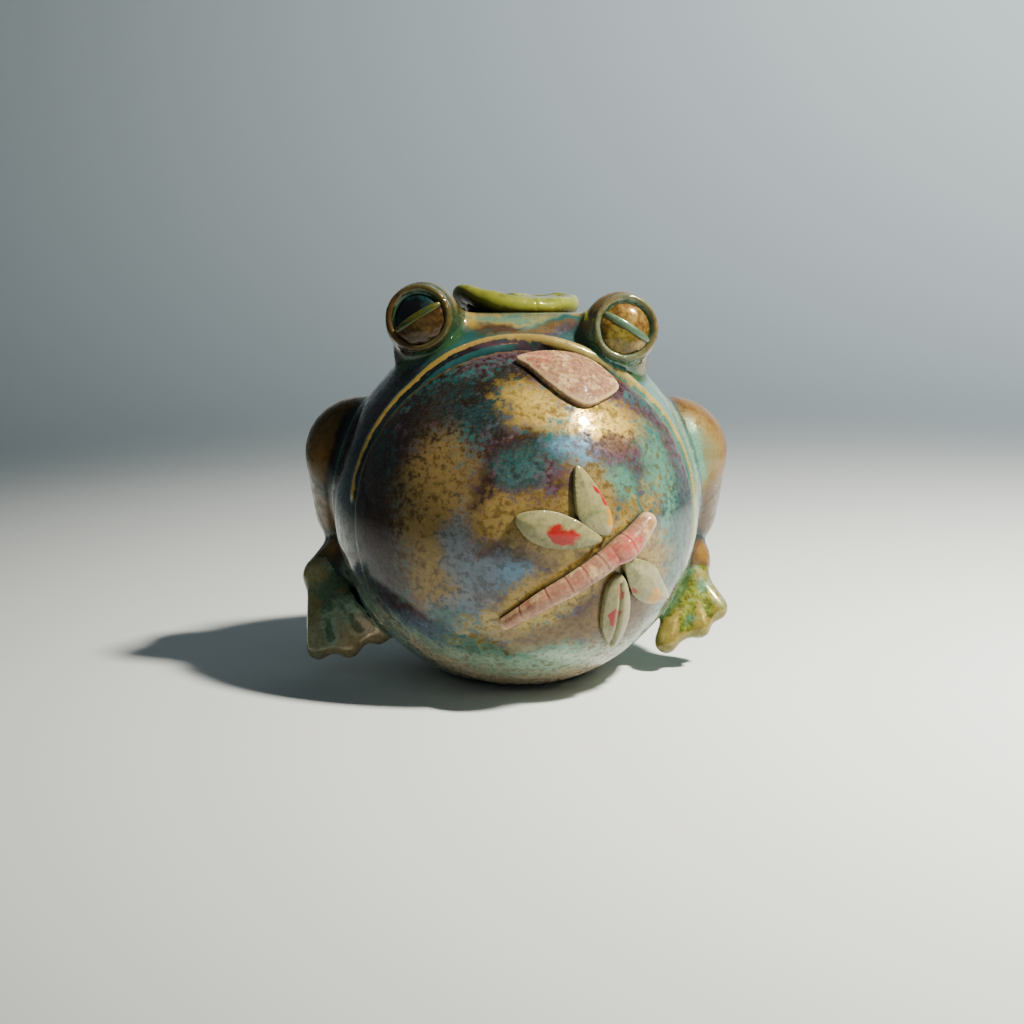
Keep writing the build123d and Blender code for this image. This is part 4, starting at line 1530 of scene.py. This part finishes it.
def build_floor() -> bpy.types.Object:
    """Makes the pale floor with its backdrop."""
    bpy.ops.object.select_all(action="DESELECT")
    bpy.ops.mesh.primitive_plane_add(size=5, location=(0, -1.2, 0))
    floor = placed()
    floor.name = "floor"
    bpy.ops.object.mode_set(mode="EDIT")
    bpy.ops.mesh.select_all(action="DESELECT")
    bpy.ops.object.mode_set(mode="OBJECT")
    for edge in floor.data.edges:
        edge.select = all(floor.data.vertices[k].co.y > 0 for k in edge.vertices)
    bpy.ops.object.mode_set(mode="EDIT")
    bpy.ops.mesh.select_mode(type="EDGE")
    bpy.ops.mesh.extrude_region_move(TRANSFORM_OT_translate={"value": (0, 0, 3)})
    bpy.ops.object.mode_set(mode="OBJECT")
    for edge in floor.data.edges:
        edge.select = all(floor.data.vertices[k].co.y > 0 and floor.data.vertices[k].co.z < 0.1 for k in edge.vertices)
    bpy.ops.object.mode_set(mode="EDIT")
    bpy.ops.mesh.bevel(offset=0.9, segments=32, affect="EDGES")
    bpy.ops.object.mode_set(mode="OBJECT")
    bpy.ops.object.shade_smooth()
    material = bpy.data.materials.new("Pale paper")
    material.use_nodes = True
    shader = material.node_tree.nodes["Principled BSDF"]
    shader.inputs["Base Color"].default_value = linear("#b9c1c3")
    shader.inputs["Roughness"].default_value = 0.8
    floor.data.materials.append(material)
    return floor


def build_camera() -> None:
    """Sets the camera where the photograph was taken from."""
    camera = bpy.data.cameras.new("camera")
    camera.lens = 71.5
    camera.sensor_width = 36
    camera.dof.use_dof = False
    holder = bpy.data.objects.new("camera", camera)
    holder.location = Vector((-1.3725, -611.057, 156.459)) * MM
    target = Vector((-1.3725, -0.4767, 48.797)) * MM
    holder.rotation_euler = (target - holder.location).to_track_quat("-Z", "Y").to_euler()
    bpy.context.scene.collection.objects.link(holder)
    bpy.context.scene.camera = holder


def add_light(
    name: str, place: Vector, target: Vector, size: float, power: float, colour: str, spread: float = 180.0
) -> None:
    """Adds a softbox; place, target and size are in metres, and the spread of its beam in degrees."""
    light = bpy.data.lights.new(name, type="AREA")
    light.size = size
    light.spread = math.radians(spread)
    light.energy = power
    light.color = linear(colour)[:3]
    holder = bpy.data.objects.new(name, light)
    holder.location = place
    holder.rotation_euler = (target - place).to_track_quat("-Z", "Y").to_euler()
    bpy.context.scene.collection.objects.link(holder)


def build_lights() -> None:
    """Sets plain soft studio light: a key from the upper right in front, and one on the backdrop."""
    add_light("key", Vector((0.8, -0.32, 1.15)), Vector((0.28, -0.06, 0.03)), 0.12, 7.5, "#fff4e4", 42)
    add_light("backdrop", Vector((0.8, 0.35, 1.5)), Vector((0.7, 1.25, 0.35)), 0.8, 14, "#eef4f4", 90)
    world = bpy.data.worlds.new("studio")
    world.use_nodes = True
    world.node_tree.nodes["Background"].inputs["Color"].default_value = linear("#cdd8dc")
    world.node_tree.nodes["Background"].inputs["Strength"].default_value = 0.2
    bpy.context.scene.world = world


def main() -> None:
    """Builds the frog's pieces, their finishes and the studio."""
    logging.basicConfig(level=logging.INFO, format="%(name)s: %(message)s")
    eyes = [Eye(Side.RIGHT, (-62.0, 62.0)), Eye(Side.LEFT, (61.0, 58.0))]
    legs = [
        Legs(Side.RIGHT, ((46.0, 31.0), (24.0, 30.0), (3.0, 28.5)), 13.0),
        Legs(Side.LEFT, ((23.0, 28.0), (-4.0, 21.5), (-33.0, 17.5)), 6.5),
    ]
    pieces = Skin(eyes, legs).build()
    pieces["belly_shell"] = Belly().build()
    for eye in eyes:
        pieces[f"{eye.side.label}_eyeball"] = eye.add_eyeball()
        pieces[f"{eye.side.label}_lower_lid"] = eye.add_lower_lid()
        pieces[f"{eye.side.label}_lid_roll"] = eye.add_lid_roll()
    for pad in (*WINGS, TONGUE, *ROLLS):
        pieces[pad.node] = pad.build()
    pieces["lily_pad"] = LilyPad().build()
    slots = {row["node"]: row["material_slot"] for row in frame["record"]["subparts"]}
    finishes = {slot: glaze.material() for slot, glaze in GLAZES.items()}
    for node, piece in pieces.items():
        piece.name = f"{node}_glazed"
        piece.data.materials.clear()
        piece.data.materials.append(finishes[slots[node]])
        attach(piece, "root")
        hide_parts(node)
    build_floor()
    build_camera()
    build_lights()


if __name__ == "__main__":
    main()
